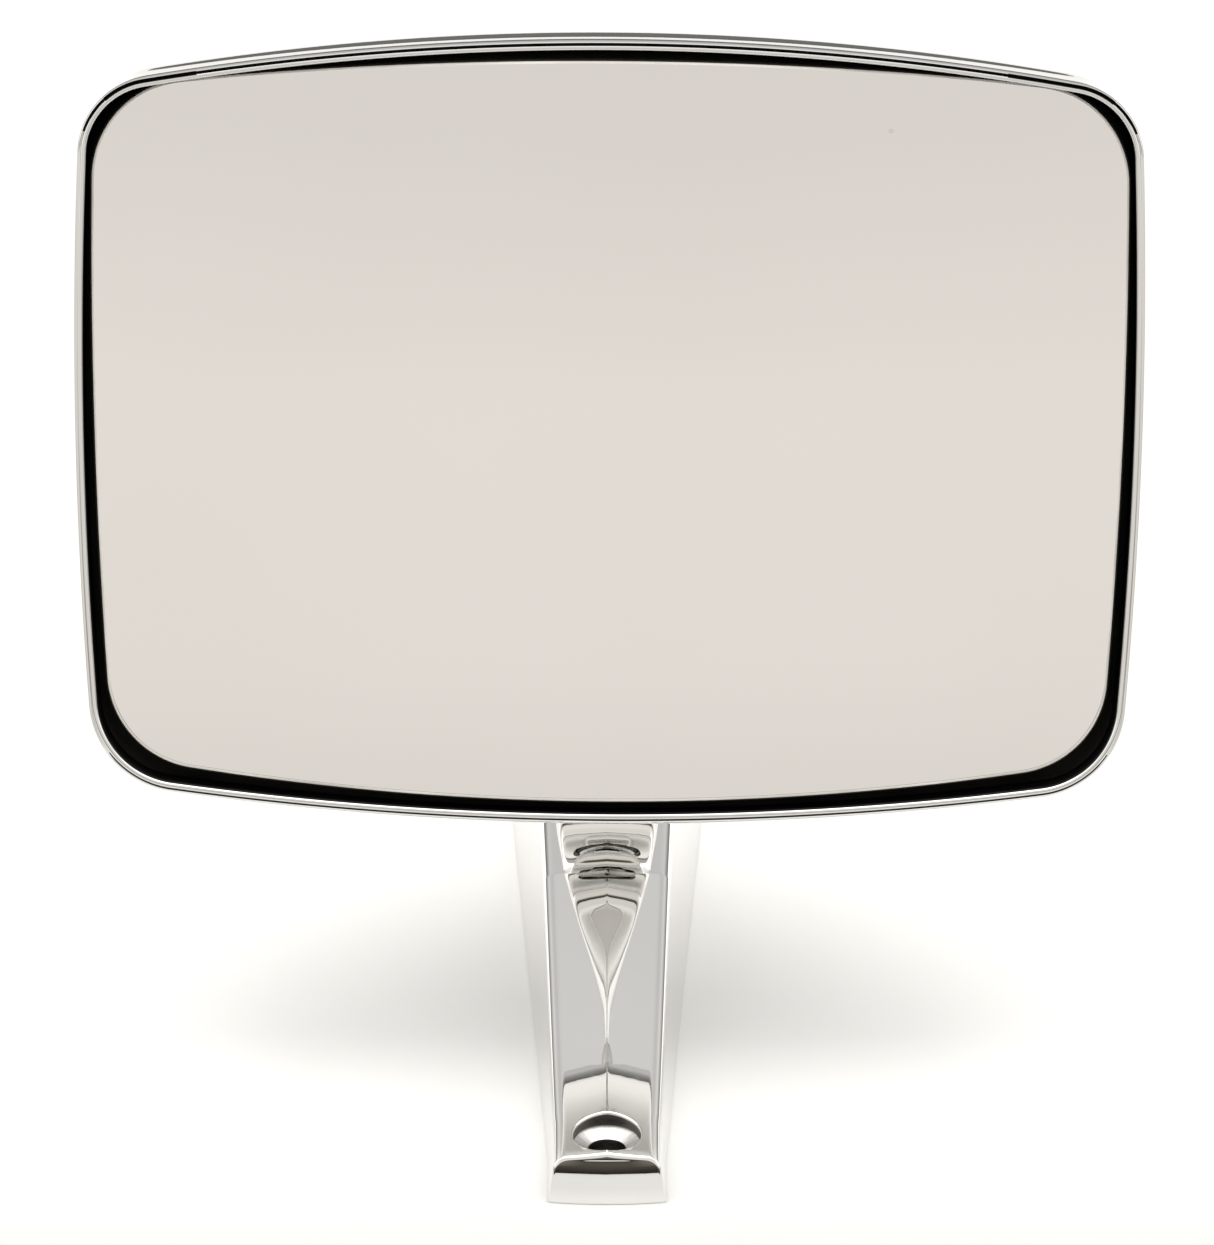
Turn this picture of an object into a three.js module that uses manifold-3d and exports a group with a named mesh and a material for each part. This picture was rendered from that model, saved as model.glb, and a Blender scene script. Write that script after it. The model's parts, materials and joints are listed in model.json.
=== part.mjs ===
// Chromed exterior door mirror: a cast arm, a ball pivot and a bowl-shaped head with a convex glass.
// Millimetres, +Z up. The origin is on the flat underside of the arm's foot. +Y runs along the arm,
// away from the foot, and the glass looks towards -Y.
import * as THREE from "three";
import { mergeVertices } from "three/addons/utils/BufferGeometryUtils.js";
import Module from "manifold-3d";

// ---- driving dimensions ----------------------------------------------------------------------
const GAP = 0.3; // clearance between touching pieces

// arm
const MOUNT_FROM_FOOT = 14; // the origin lies this far behind the foot's end face
const ARM_LENGTH = 122;
const RIDGE_HEIGHT = 6.35; // at the foot's end face
const RIDGE_SLOPE = (11.755 - 6.35) / 68;
const ROOF_DROP = 0.115; // fall of each top facet, per mm from the ridge
const FOOT_HALF_WIDTH = 7.33;
const BASE_FLARE = 0.056; // base half-width gained per mm beyond the foot
const SHOULDER_HALF_WIDTH = 6.45;
const SHOULDER_FLARE = 0.0233;
const SHOULDER_RADIUS = 1.9;
const TOP_END = 68; // the top is level beyond this
const NOSE_START = 98;
const NOSE_HEIGHT = 6.5;
const POCKET = { from: 21, to: 105, wall: 2.9, roof: 3.2 };

// countersunk screw hole in the foot
const HOLE_FROM_FOOT = 6.5;
const HOLE_RADIUS = 2.3;
const CONE_RADIUS = 4.1;
const BORE_RADIUS = 4.4;
const BORE_DEPTH = 2.0;

// ball pivot: centre measured from the foot's end face, stud leaning towards the glass
const PIVOT = { y: 63.606, z: 41.078 };
const STUD_LEAN = THREE.MathUtils.degToRad(38);
const STUD_RADIUS = 3.0;
const BALL_RADIUS = 7.4;
const LINER = { inner: 7.7, outer: 8.7, from: 31, to: 62 };
const SOCKET_RADIUS = 9.0;
const SOCKET_WALL = 1.7;
const SOCKET_HOLE = THREE.MathUtils.degToRad(34);
const WASHER = { inner: 11.0, reach: 42, top: 12.0, rim: 6.5 };
const BALL_BASE = -4.0; // the ball's flat foot, along the stud from its centre
const NECK_RADIUS = 5.8;
const NECK_FILLET = 6.0; // concave sweep from the arm's top into the front of the neck
const NECK_BACK_FILLET = 14;
const BOLT_SEAT = -41.0; // underside of the arm's wall, along the stud
const SPRING = { radius: 4.9, wire: 0.55, turns: 2, length: 3.5 };
const NUT = { across: 10, height: 3.6 };

// head: origin at the middle of the rim plane; x right, y up the glass, z out of the glass
const HEAD_TILT = THREE.MathUtils.degToRad(19); // glass leans back from the vertical
const HEAD_ROLL = THREE.MathUtils.degToRad(-0.38);
const LIP_BOTTOM = { y: 29.0, z: 39.2 }; // lowest point of the rim's front lip
// each outline is eight tangent arcs: top, bottom, sides and corners
const RIM = { top: 45.3, topR: 342, bottom: -49.45, bottomR: 410, side: 65.05, sideY: 10.2, sideR: 590, cornerT: 8.6, cornerB: 10.7 };
const GIRTH = { top: 47.4, topR: 342, bottom: -51.55, bottomR: 402, side: 67.15, sideY: 11.1, sideR: 565, cornerT: 12.0, cornerB: 12.5 };
const GLASS = { top: 44.2, topR: 533, bottom: -48.25, bottomR: 353, side: 64.3, sideY: 23.5, sideR: 810, cornerT: 12.6, cornerB: 12.4 };
const GIRTH_DEPTH = 6.5;
const SHELL_DEPTH = 42;
const SHELL_WALL = 1.7;
const BOWL_POWER = 2.3;
const GLASS_RADIUS = 1200; // convex
const GLASS_THICKNESS = 2.2;
const GLASS_RECESS = 0.15;
const GASKET = { front: 5.2, back: 7.1, width: 6 };
const PLATE = { front: 7.4, back: 8.4 };
const POST = { x: 50, y: 6, radius: 3.6 };
const SCREW = { shank: 1.6, head: 3.0, headHeight: 1.6, length: 9 };

// ---- tools -----------------------------------------------------------------------------------
const wasm = await Module();
wasm.setup();

function solid(geometry) {
  let g = geometry.index ? geometry.toNonIndexed() : geometry.clone();
  g.deleteAttribute("normal");
  if (g.getAttribute("uv")) g.deleteAttribute("uv");
  g = mergeVertices(g, 1e-4);
  return new wasm.Manifold(
    new wasm.Mesh({
      numProp: 3,
      vertProperties: new Float32Array(g.attributes.position.array),
      triVerts: new Uint32Array(g.index.array),
    }),
  );
}

function shape(manifold) {
  const m = manifold.getMesh();
  const g = new THREE.BufferGeometry();
  g.setAttribute("position", new THREE.BufferAttribute(new Float32Array(m.vertProperties), 3));
  g.setIndex(new THREE.BufferAttribute(new Uint32Array(m.triVerts), 1));
  const flat = g.toNonIndexed();
  flat.computeVertexNormals();
  return flat;
}

// A closed skin over equal-length rings of [x, y, z] points, with a fan at each end.
function loft(rings) {
  const n = rings[0].length;
  const pos = [];
  const quad = (a, b, c, d) => pos.push(...a, ...b, ...c, ...a, ...c, ...d);
  for (let k = 0; k + 1 < rings.length; k++)
    for (let i = 0; i < n; i++) {
      const j = (i + 1) % n;
      quad(rings[k][i], rings[k][j], rings[k + 1][j], rings[k + 1][i]);
    }
  const cap = (ring, flip) => {
    const c = [0, 1, 2].map((q) => ring.reduce((s, p) => s + p[q], 0) / n);
    for (let i = 0; i < n; i++) {
      const j = (i + 1) % n;
      if (flip) pos.push(...c, ...ring[j], ...ring[i]);
      else pos.push(...c, ...ring[i], ...ring[j]);
    }
  };
  cap(rings[0], true);
  cap(rings[rings.length - 1], false);
  const g = new THREE.BufferGeometry();
  g.setAttribute("position", new THREE.Float32BufferAttribute(pos, 3));
  g.computeVertexNormals();
  return g;
}

// Points of an eight-arc outline, anticlockwise from the middle of the bottom, the same count for
// every outline so that outlines can be lofted to each other.
function outline(o, [nFlat, nCorner, nSide] = [6, 5, 6]) {
  const centreT = [0, o.top - o.topR];
  const centreB = [0, o.bottom + o.bottomR];
  const centreS = [o.side - o.sideR, o.sideY];
  const corner = (c1, R1, c2, R2, r, sign) => {
    const dx = c2[0] - c1[0], dy = c2[1] - c1[1], d = Math.hypot(dx, dy);
    const a = R1 - r, b = R2 - r;
    const x = (a * a - b * b + d * d) / (2 * d);
    const h = Math.sqrt(Math.max(a * a - x * x, 0));
    const ux = dx / d, uy = dy / d;
    const q = [
      [c1[0] + ux * x - uy * h, c1[1] + uy * x + ux * h],
      [c1[0] + ux * x + uy * h, c1[1] + uy * x - ux * h],
    ];
    return q[0][0] + q[0][1] * sign > q[1][0] + q[1][1] * sign ? q[0] : q[1];
  };
  const kT = corner(centreT, o.topR, centreS, o.sideR, o.cornerT, 1);
  const kB = corner(centreB, o.bottomR, centreS, o.sideR, o.cornerB, -1);
  const ang = (c, p) => Math.atan2(p[1] - c[1], p[0] - c[0]);
  const half = [];
  const arc = (c, r, from, to, n) => {
    for (let i = 0; i < n; i++) {
      const t = from + ((to - from) * i) / n;
      half.push([c[0] + r * Math.cos(t), c[1] + r * Math.sin(t)]);
    }
  };
  arc(centreB, o.bottomR, -Math.PI / 2, ang(centreB, kB), nFlat);
  arc(kB, o.cornerB, ang(centreB, kB), ang(centreS, kB), nCorner);
  arc(centreS, o.sideR, ang(centreS, kB), ang(centreS, kT), nSide);
  arc(kT, o.cornerT, ang(centreS, kT), ang(centreT, kT), nCorner);
  arc(centreT, o.topR, ang(centreT, kT), Math.PI / 2, nFlat);
  half.push([0, o.top]);
  const left = half.slice(1, -1).reverse().map(([x, y]) => [-x, y]);
  return half.concat(left);
}

// The same outline moved outwards by d (inwards when d is negative).
const grow = (o, d) => ({
  top: o.top + d, topR: o.topR + d, bottom: o.bottom - d, bottomR: o.bottomR + d,
  side: o.side + d, sideY: o.sideY, sideR: o.sideR + d, cornerT: o.cornerT + d, cornerB: o.cornerB + d,
});
const at = (points, z) => points.map(([x, y]) => [x, y, z]);

// A revolved solid about +Z from a closed [radius, height] profile.
function revolve(profile, segments = 24) {
  const g = new THREE.LatheGeometry(profile.map(([r, h]) => new THREE.Vector2(r, h)), segments);
  g.rotateX(Math.PI / 2);
  return g;
}

const paint = (color, roughness, metalness) => new THREE.MeshStandardMaterial({ color, roughness, metalness });
const chrome = () => paint(0xd6d5d2, 0.06, 1);
const steel = () => paint(0x9a9b9c, 0.35, 1);

function node(name, geometry, material, parent) {
  const mesh = new THREE.Mesh(geometry, material);
  mesh.name = name;
  parent.add(mesh);
  return mesh;
}

const root = new THREE.Group();

// ---- arm -------------------------------------------------------------------------------------
// Foot-based coordinates: Y is measured from the end face of the foot.
const arm = new THREE.Group();
arm.position.y = -MOUNT_FROM_FOOT;
root.add(arm);

const ridgeAt = (Y) => {
  if (Y <= TOP_END) return RIDGE_HEIGHT + RIDGE_SLOPE * Y;
  const top = RIDGE_HEIGHT + RIDGE_SLOPE * TOP_END;
  if (Y <= NOSE_START) return top;
  const q = Math.min(1, (Y - NOSE_START) / (ARM_LENGTH - NOSE_START));
  return top + (NOSE_HEIGHT - top) * q * q;
};
const planAt = (Y) => {
  if (Y <= NOSE_START + 8) return 1;
  const q = (Y - NOSE_START - 8) / (ARM_LENGTH - NOSE_START - 8);
  return Math.sqrt(Math.max(1 - q * q, 0.0));
};
function armSection(Y) {
  const base = FOOT_HALF_WIDTH + BASE_FLARE * Math.max(0, Y - 10);
  const plan = planAt(Y);
  const b = base * plan;
  const s = Math.min(SHOULDER_HALF_WIDTH + SHOULDER_FLARE * Y, base - 0.7) * plan;
  const ridge = ridgeAt(Y);
  const shoulder = ridge - ROOF_DROP * s;
  const r = Math.min(SHOULDER_RADIUS, s * 0.5);
  const wall = b + (s - b) * ((shoulder - r) / shoulder);
  const half = [
    [b, 0],
    [wall + 0.02, shoulder - r],
    [s + 0.12 - r * 0.22, shoulder - r * 0.42 + 0.05],
    [s - r * 0.62, shoulder - r * 0.02 + ROOF_DROP * r * 0.3],
    [s - r * 1.25, shoulder + ROOF_DROP * r * 1.25],
    [0, ridge],
  ];
  const ring = half.map(([x, z]) => [x, Y, z]);
  for (let i = half.length - 2; i >= 0; i--) ring.push([-half[i][0], Y, half[i][1]]);
  ring.push([0, Y, 0]);
  return ring;
}
// The end face leans back by this much at a height: drafted and slightly convex.
const setback = (z) => 0.12 * z + 0.02403 * z * z - 0.00096 * z * z * z;
const stations = [0, 12, 40, TOP_END, NOSE_START, ...[0.18, 0.34, 0.48, 0.6, 0.71, 0.8, 0.88, 0.94, 0.98, 0.995].map((q) => NOSE_START + q * (ARM_LENGTH - NOSE_START))];
let casting = solid(loft(stations.map((Y) => armSection(Y).map(([x, y, z]) => [x, Y === 0 ? setback(z) : y, z]).reverse())));

// The neck sweeps up from the top of the arm and leans over to the ball. Its front and back lines
// are straight along the stud, with a concave fillet each into the arm's top.
const studDir = [-Math.sin(STUD_LEAN), Math.cos(STUD_LEAN)]; // Y, Z
const across = [Math.cos(STUD_LEAN), Math.sin(STUD_LEAN)];
const neckTop = [PIVOT.y + studDir[0] * BALL_BASE, PIVOT.z + studDir[1] * BALL_BASE];
// Tangent points and centre of a fillet between the arm's top line and a neck line.
function neckLine(side, radius) {
  const p = [neckTop[0] + side * across[0] * NECK_RADIUS, neckTop[1] + side * across[1] * NECK_RADIUS];
  const slope = side < 0 ? RIDGE_SLOPE : 0;
  const z0 = side < 0 ? RIDGE_HEIGHT : RIDGE_HEIGHT + RIDGE_SLOPE * TOP_END;
  const n = Math.hypot(1, slope);
  // centre (Y, z): (z - z0 - slope Y) / n = radius and side * (centre - p) . across = radius
  const k = side * radius + p[0] * across[0] + p[1] * across[1];
  const Y = (k - across[1] * (z0 + radius * n)) / (across[0] + across[1] * slope);
  const c = [Y, z0 + slope * Y + radius * n];
  const foot = [c[0] + (radius * slope) / n, c[1] - radius / n];
  const top = [c[0] - side * across[0] * radius, c[1] - side * across[1] * radius];
  const a0 = Math.atan2(foot[1] - c[1], foot[0] - c[0]);
  let a1 = Math.atan2(top[1] - c[1], top[0] - c[0]);
  if (side < 0 && a1 < a0) a1 += 2 * Math.PI;
  if (side > 0 && a1 > a0) a1 -= 2 * Math.PI;
  return (u) => {
    // u from 0 (buried in the arm) to 1 (top of the neck)
    if (u <= 0.12) return [foot[0] - side * 0.0, foot[1] - 2.6 * (1 - u / 0.12)];
    if (u <= 0.6) {
      const a = a0 + (a1 - a0) * ((u - 0.12) / 0.48);
      return [c[0] + radius * Math.cos(a), c[1] + radius * Math.sin(a)];
    }
    const t = (u - 0.6) / 0.4;
    return [top[0] + (p[0] - top[0]) * t, top[1] + (p[1] - top[1]) * t];
  };
}
const frontLine = neckLine(-1, NECK_FILLET), backLine = neckLine(1, NECK_BACK_FILLET);
// station, half-width, squareness of the section
const NECK = [
  [0, 7.0, 4.5], [0.12, 7.0, 4.5], [0.2, 7.0, 4.2], [0.28, 6.95, 3.9], [0.36, 6.85, 3.5], [0.44, 6.7, 3.1],
  [0.52, 6.4, 2.8], [0.6, 6.2, 2.5], [0.78, 5.95, 2.2], [1, NECK_RADIUS, 2],
];
const neckRings = NECK.map(([u, w, square]) => {
  const f = frontLine(u), r = backLine(u);
  const ring = [];
  for (let i = 0; i < 28; i++) {
    const a = (i / 28) * Math.PI * 2;
    const x = w * Math.sign(Math.cos(a)) * Math.pow(Math.abs(Math.cos(a)), 2 / square);
    const t = 0.5 + 0.5 * Math.sign(Math.sin(a)) * Math.pow(Math.abs(Math.sin(a)), 2 / square);
    // the arm's roof falls away to the sides, and the sweep's foot falls with it
    const drop = u < 0.6 ? ROOF_DROP * Math.abs(x) * (1 - Math.max(0, u - 0.12) / 0.48) : 0;
    ring.push([x, f[0] + (r[0] - f[0]) * t, f[1] + (r[1] - f[1]) * t - drop]);
  }
  return ring;
});
casting = casting.add(solid(loft(neckRings)));

// The hollow underneath, open at the bottom.
const pocketRing = (Y, grow2) => {
  const b = FOOT_HALF_WIDTH + BASE_FLARE * Math.max(0, Y - 10) - POCKET.wall;
  const s = SHOULDER_HALF_WIDTH + SHOULDER_FLARE * Y - POCKET.wall + 0.3;
  const k = Y > NOSE_START ? Math.max(0.45, planAt(Y) - (Y - NOSE_START) * 0.03) : 1;
  const top = ridgeAt(Math.min(Y + grow2, ARM_LENGTH)) - POCKET.roof;
  return [[b * k, Y, -1], [s * k, Y, top - 0.8], [s * k - 1, Y, top], [-s * k + 1, Y, top], [-s * k, Y, top - 0.8], [-b * k, Y, -1]];
};
const pocket = loft([POCKET.from, 40, 60, 80, NOSE_START, 101.5, POCKET.to].map((Y) => pocketRing(Y, 4).reverse()));
casting = casting.subtract(solid(pocket));

// Bore for the stud, and a spot face for the bolt's washer that stays inside the hollow.
const alongStud = (g) => {
  g.rotateX(STUD_LEAN);
  g.translate(0, PIVOT.y, PIVOT.z);
  return g;
};
const r0 = STUD_RADIUS + GAP;
casting = casting.subtract(solid(alongStud(revolve([[0, -60], [r0, -60], [r0, 5], [0, 5]], 24))));
const spot = solid(alongStud(revolve([[0, -60], [7.2, -60], [7.2, BOLT_SEAT], [0, BOLT_SEAT]], 24)));
const keep = new THREE.BoxGeometry(12.6, 40, 60);
keep.translate(0, PIVOT.y + 23.7, 22);
casting = casting.subtract(spot.intersect(solid(keep)));

// Countersunk and counterbored hole, square to the underside.
const holeTop = ridgeAt(HOLE_FROM_FOOT);
const coneTop = holeTop - BORE_DEPTH;
const holeProfile = [
  [0, -1], [HOLE_RADIUS, -1], [HOLE_RADIUS, coneTop - (CONE_RADIUS - HOLE_RADIUS)], [CONE_RADIUS, coneTop],
  [BORE_RADIUS, coneTop + 0.1], [BORE_RADIUS, holeTop + 2], [0, holeTop + 2],
];
const hole = revolve(holeProfile, 32);
hole.translate(0, HOLE_FROM_FOOT, 0);
casting = casting.subtract(solid(hole));
node("arm_casting", shape(casting), chrome(), arm);

// ---- ball pivot ------------------------------------------------------------------------------
// Local +Z runs up the stud from the ball's centre.
const pivot = new THREE.Group();
pivot.position.set(0, PIVOT.y, PIVOT.z);
pivot.rotation.x = STUD_LEAN;
arm.add(pivot);

const arcPoints = (radius, fromDeg, toDeg, n) => {
  const out = [];
  for (let i = 0; i <= n; i++) {
    const a = THREE.MathUtils.degToRad(fromDeg + ((toDeg - fromDeg) * i) / n);
    out.push([radius * Math.sin(a), radius * Math.cos(a)]);
  }
  return out;
};

// ball: sphere with a flat foot on the neck, bored for the stud
{
  const footAngle = THREE.MathUtils.radToDeg(Math.acos((BALL_BASE + GAP) / BALL_RADIUS));
  const topAngle = THREE.MathUtils.radToDeg(Math.asin((STUD_RADIUS + 1.2) / BALL_RADIUS));
  const r = STUD_RADIUS + GAP;
  const prof = arcPoints(BALL_RADIUS, footAngle, topAngle, 9);
  const topH = prof[prof.length - 1][1];
  const profile = [[r, BALL_BASE + GAP], ...prof, [r, topH], [r, BALL_BASE + GAP]];
  node("pivot_ball", revolve(profile, 24), steel(), pivot);
}

// liner: thin spherical cup between ball and socket
{
  const o = arcPoints(LINER.outer, LINER.to, LINER.from, 5);
  const i = arcPoints(LINER.inner, LINER.from, LINER.to, 5);
  node("seat_liner", revolve([...o, ...i, o[0]], 24), paint(0xe8e4d8, 0.6, 0), pivot);
}

// inner washer: spherical below, flat on top for the spring
{
  const r = STUD_RADIUS + GAP;
  const from = THREE.MathUtils.radToDeg(Math.asin(r / WASHER.inner));
  const i = arcPoints(WASHER.inner, from, WASHER.reach, 6);
  const o = arcPoints(WASHER.inner + 1.3, WASHER.reach, 34, 2);
  const profile = [...i, ...o, [WASHER.rim, WASHER.top - 0.6], [WASHER.rim - 0.4, WASHER.top], [r, WASHER.top], i[0]];
  node("inner_pivot_washer", revolve(profile, 24), steel(), pivot);
}

// compression spring round the stud
const springFoot = WASHER.top + GAP;
{
  const pitch = (SPRING.length - 2 * SPRING.wire) / SPRING.turns;
  class Coil extends THREE.Curve {
    getPoint(t, target = new THREE.Vector3()) {
      const a = t * SPRING.turns * Math.PI * 2;
      return target.set(SPRING.radius * Math.cos(a), SPRING.radius * Math.sin(a), SPRING.wire + t * SPRING.turns * pitch);
    }
  }
  const section = new THREE.Shape(
    [...Array(6)].map((_, i) => new THREE.Vector2(SPRING.wire * Math.cos((i * Math.PI) / 3), SPRING.wire * Math.sin((i * Math.PI) / 3))),
  );
  const g = new THREE.ExtrudeGeometry(section, { steps: SPRING.turns * 12, extrudePath: new Coil(), bevelEnabled: false });
  const spring = node("pivot_spring", g, steel(), pivot);
  spring.position.z = springFoot + 0.15;
}

const washerFoot = springFoot + SPRING.length + 0.5;
node("spring_washer", revolve([[STUD_RADIUS + GAP, 0], [6.2, 0], [6.2, 1.2], [STUD_RADIUS + GAP, 1.2], [STUD_RADIUS + GAP, 0]], 24), steel(), pivot).position.z = washerFoot;

const hexShape = (across) => {
  const s = new THREE.Shape();
  const r = across / 2 / Math.cos(Math.PI / 6);
  for (let i = 0; i < 6; i++) {
    const a = (i * Math.PI) / 3;
    if (i) s.lineTo(r * Math.cos(a), r * Math.sin(a));
    else s.moveTo(r, 0);
  }
  s.closePath();
  return s;
};
const nutFoot = washerFoot + 1.2 + GAP;
{
  const s = hexShape(NUT.across);
  const h = new THREE.Path();
  h.absarc(0, 0, STUD_RADIUS + GAP, 0, Math.PI * 2, true);
  s.holes.push(h);
  const g = new THREE.ExtrudeGeometry(s, { depth: NUT.height, bevelEnabled: false, curveSegments: 12 });
  node("lock_nut", g, steel(), pivot).position.z = nutFoot;
}

// bolt: hex head in the arm's hollow, shank up through neck, ball, spring and nut
{
  const head = new THREE.ExtrudeGeometry(hexShape(10), { depth: 4, bevelEnabled: false });
  head.translate(0, 0, BOLT_SEAT - 1.2 - 2 * GAP - 4);
  const top = nutFoot + NUT.height + 0.7;
  const z0 = BOLT_SEAT - 1.2 - 2 * GAP - 1.5;
  const shank = revolve([[0, z0], [STUD_RADIUS, z0], [STUD_RADIUS, top - 0.8], [STUD_RADIUS - 0.7, top], [0, top]], 20);
  node("pivot_bolt", shape(solid(head).add(solid(shank))), steel(), pivot);
  node("bolt_washer", revolve([[STUD_RADIUS + GAP, 0], [6, 0], [6, 1.2], [STUD_RADIUS + GAP, 1.2], [STUD_RADIUS + GAP, 0]], 24), steel(), pivot).position.z =
    BOLT_SEAT - 1.2 - GAP;
}

// ---- head ------------------------------------------------------------------------------------
const sinT = Math.sin(HEAD_TILT), cosT = Math.cos(HEAD_TILT);
const headCentre = { y: LIP_BOTTOM.y - RIM.bottom * sinT, z: LIP_BOTTOM.z - RIM.bottom * cosT };
// the ball's centre in head coordinates
const dy = PIVOT.y - headCentre.y, dz = PIVOT.z - headCentre.z;
const ballInHead = new THREE.Vector3(0, dy * sinT + dz * cosT, -dy * cosT + dz * sinT);
const head = new THREE.Group();
head.position.set(0, PIVOT.y, PIVOT.z);
head.rotation.x = Math.PI / 2 - HEAD_TILT;
arm.add(head);
const headRoll = new THREE.Group();
headRoll.rotation.z = HEAD_ROLL;
head.add(headRoll);
const inHead = new THREE.Group();
inHead.position.copy(ballInHead).negate();
headRoll.add(inHead);

// Section of the bowl at a depth behind the rim, inset by the wall for the inside.
function bowlRing(depth, inset) {
  const full = SHELL_DEPTH - inset;
  const q = Math.min(1, Math.max(0, (depth - GIRTH_DEPTH) / (full - GIRTH_DEPTH)));
  const s = Math.pow(Math.max(1 - Math.pow(q, BOWL_POWER), 1e-6), 1 / BOWL_POWER);
  const m = 0.55 * q;
  const pts = outline(grow(GIRTH, -inset));
  return pts.map(([x, y]) => {
    const a = Math.atan2(y / 51, x / 67);
    const ex = (66.8 - inset) * Math.cos(a), ey = (51 - inset) * Math.sin(a) - 2;
    return [s * (x * (1 - m) + ex * m), s * (y * (1 - m) + ey * m), -depth];
  });
}
const outerDepths = [10, 15, 20, 25, 29.5, 33.5, 36.8, 39.2, 40.8, 41.7];
const outerRings = [
  at(outline(RIM), -0.0),
  at(outline(grow(RIM, 0.85)), -0.0),
  at(outline(grow(RIM, 1.25)), -0.9),
  at(outline(grow(RIM, 1.52)), -2.8),
  at(outline(GIRTH), -GIRTH_DEPTH),
  ...outerDepths.map((d) => bowlRing(d, 0)),
];
const innerRings = [
  at(outline(RIM), 1),
  at(outline(RIM), -1.5),
  at(outline(grow(RIM, 0.45)), -2.2),
  at(outline(grow(GIRTH, -SHELL_WALL)), -GIRTH_DEPTH),
  ...[10, 15, 20, 25, 29.5, 33, 36, 38.2, 39.6].map((d) => bowlRing(d, SHELL_WALL)),
];
outerRings[0] = at(outline(grow(RIM, 0.001)), 0);
const outerSolid = solid(loft(outerRings.map((r) => r.slice().reverse())));
const innerSolid = solid(loft(innerRings.map((r) => r.slice().reverse())));
const ball = (radius, segments = 28) => {
  const g = new THREE.SphereGeometry(radius, segments, Math.round(segments * 0.6));
  g.rotateX(Math.PI / 2);
  const turn = Math.PI / 2 - HEAD_TILT - STUD_LEAN; // the stud's axis in head coordinates
  g.rotateX(-turn);
  g.translate(ballInHead.x, ballInHead.y, ballInHead.z);
  return solid(g);
};
let shell = outerSolid.subtract(innerSolid);
shell = shell.add(ball(SOCKET_RADIUS + SOCKET_WALL).intersect(outerSolid));
// posts for the backing plate's screws
for (const side of [-1, 1]) {
  const post = new THREE.CylinderGeometry(POST.radius, POST.radius + 0.8, 40, 16);
  post.rotateX(Math.PI / 2);
  post.translate(side * POST.x, POST.y, -PLATE.back - GAP - 20);
  shell = shell.add(solid(post).intersect(outerSolid));
}
shell = shell.subtract(ball(SOCKET_RADIUS));
{
  // clearance hole for the stud, a cone from the ball's centre
  const r = 16 * Math.tan(SOCKET_HOLE);
  const cone = revolve([[0, 0], [r, 16], [0, 16]], 24);
  cone.rotateX(-(Math.PI / 2 - HEAD_TILT - STUD_LEAN));
  cone.translate(ballInHead.x, ballInHead.y, ballInHead.z);
  shell = shell.subtract(solid(cone));
}
for (const side of [-1, 1]) {
  const drill = new THREE.CylinderGeometry(SCREW.shank + GAP, SCREW.shank + GAP, 16, 12);
  drill.rotateX(Math.PI / 2);
  drill.translate(side * POST.x, POST.y, -PLATE.back - 7);
  shell = shell.subtract(solid(drill));
}
node("head_shell", shape(shell), chrome(), inHead);

// convex glass
const dome = (x, y) => -GLASS_RECESS - (x * x + y * y) / (2 * GLASS_RADIUS);
{
  const edge = outline(GLASS);
  const ring = (k, back) => edge.map(([x, y]) => [x * k, y * k, dome(x * k, y * k) - (back ? GLASS_THICKNESS : 0)]);
  const rings = [ring(0.02, true), ring(0.35, true), ring(0.7, true), ring(1, true), ring(1, false), ring(0.7, false), ring(0.35, false), ring(0.02, false)];
  node("mirror_glass", loft(rings), paint(0xdfdad5, 0.02, 1), inHead);
}

// rubber gasket: flat ring behind the edge of the glass
{
  const outer = outline(grow(GIRTH, -SHELL_WALL - GAP - 0.1)), inner = outline(grow(GLASS, -GASKET.width));
  const plate = solid(loft([at(outer, -GASKET.back), at(outer, -GASKET.front)]));
  const cut = solid(loft([at(inner, -GASKET.back - 1), at(inner, -GASKET.front + 1)]));
  node("glass_gasket", shape(plate.subtract(cut)), paint(0x0a0806, 0.7, 0), inHead);
}

// foam pad between glass and plate, domed like the glass
{
  const edge = outline(grow(GLASS, -GASKET.width - GAP));
  const ring = (k, back) => edge.map(([x, y]) => [x * k, y * k, back ? -GASKET.back : dome(x * k, y * k) - GLASS_THICKNESS - GAP]);
  let pad = solid(loft([ring(0.02, true), ring(0.5, true), ring(1, true), ring(1, false), ring(0.5, false), ring(0.02, false)]));
  for (const side of [-1, 1]) {
    const c = new THREE.CylinderGeometry(4.2, 4.2, 12, 16);
    c.rotateX(Math.PI / 2);
    c.translate(side * POST.x, POST.y, -5);
    pad = pad.subtract(solid(c));
  }
  node("foam_pad", shape(pad), paint(0x3a3a3a, 0.95, 0), inHead);
}

// backing plate
{
  const edge = outline(grow(GLASS, -0.8));
  let plate = solid(loft([at(edge, -PLATE.back), at(edge, -PLATE.front)]));
  for (const side of [-1, 1]) {
    const c = new THREE.CylinderGeometry(SCREW.shank + GAP, SCREW.shank + GAP, 6, 12);
    c.rotateX(Math.PI / 2);
    c.translate(side * POST.x, POST.y, -PLATE.back);
    plate = plate.subtract(solid(c));
  }
  node("backing_plate", shape(plate), steel(), inHead);
}

// the plate's screws
for (const [side, name] of [[-1, "plate_screw_left"], [1, "plate_screw_right"]]) {
  const z = -PLATE.front + GAP;
  const profile = [[0, -SCREW.length], [SCREW.shank, -SCREW.length + 1], [SCREW.shank, 0], [SCREW.head, 0], [SCREW.head, SCREW.headHeight * 0.5], [SCREW.head * 0.7, SCREW.headHeight], [0, SCREW.headHeight]];
  const screw = node(name, revolve(profile, 16), steel(), inHead);
  screw.position.set(side * POST.x, POST.y, z);
}

export default root;
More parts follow.
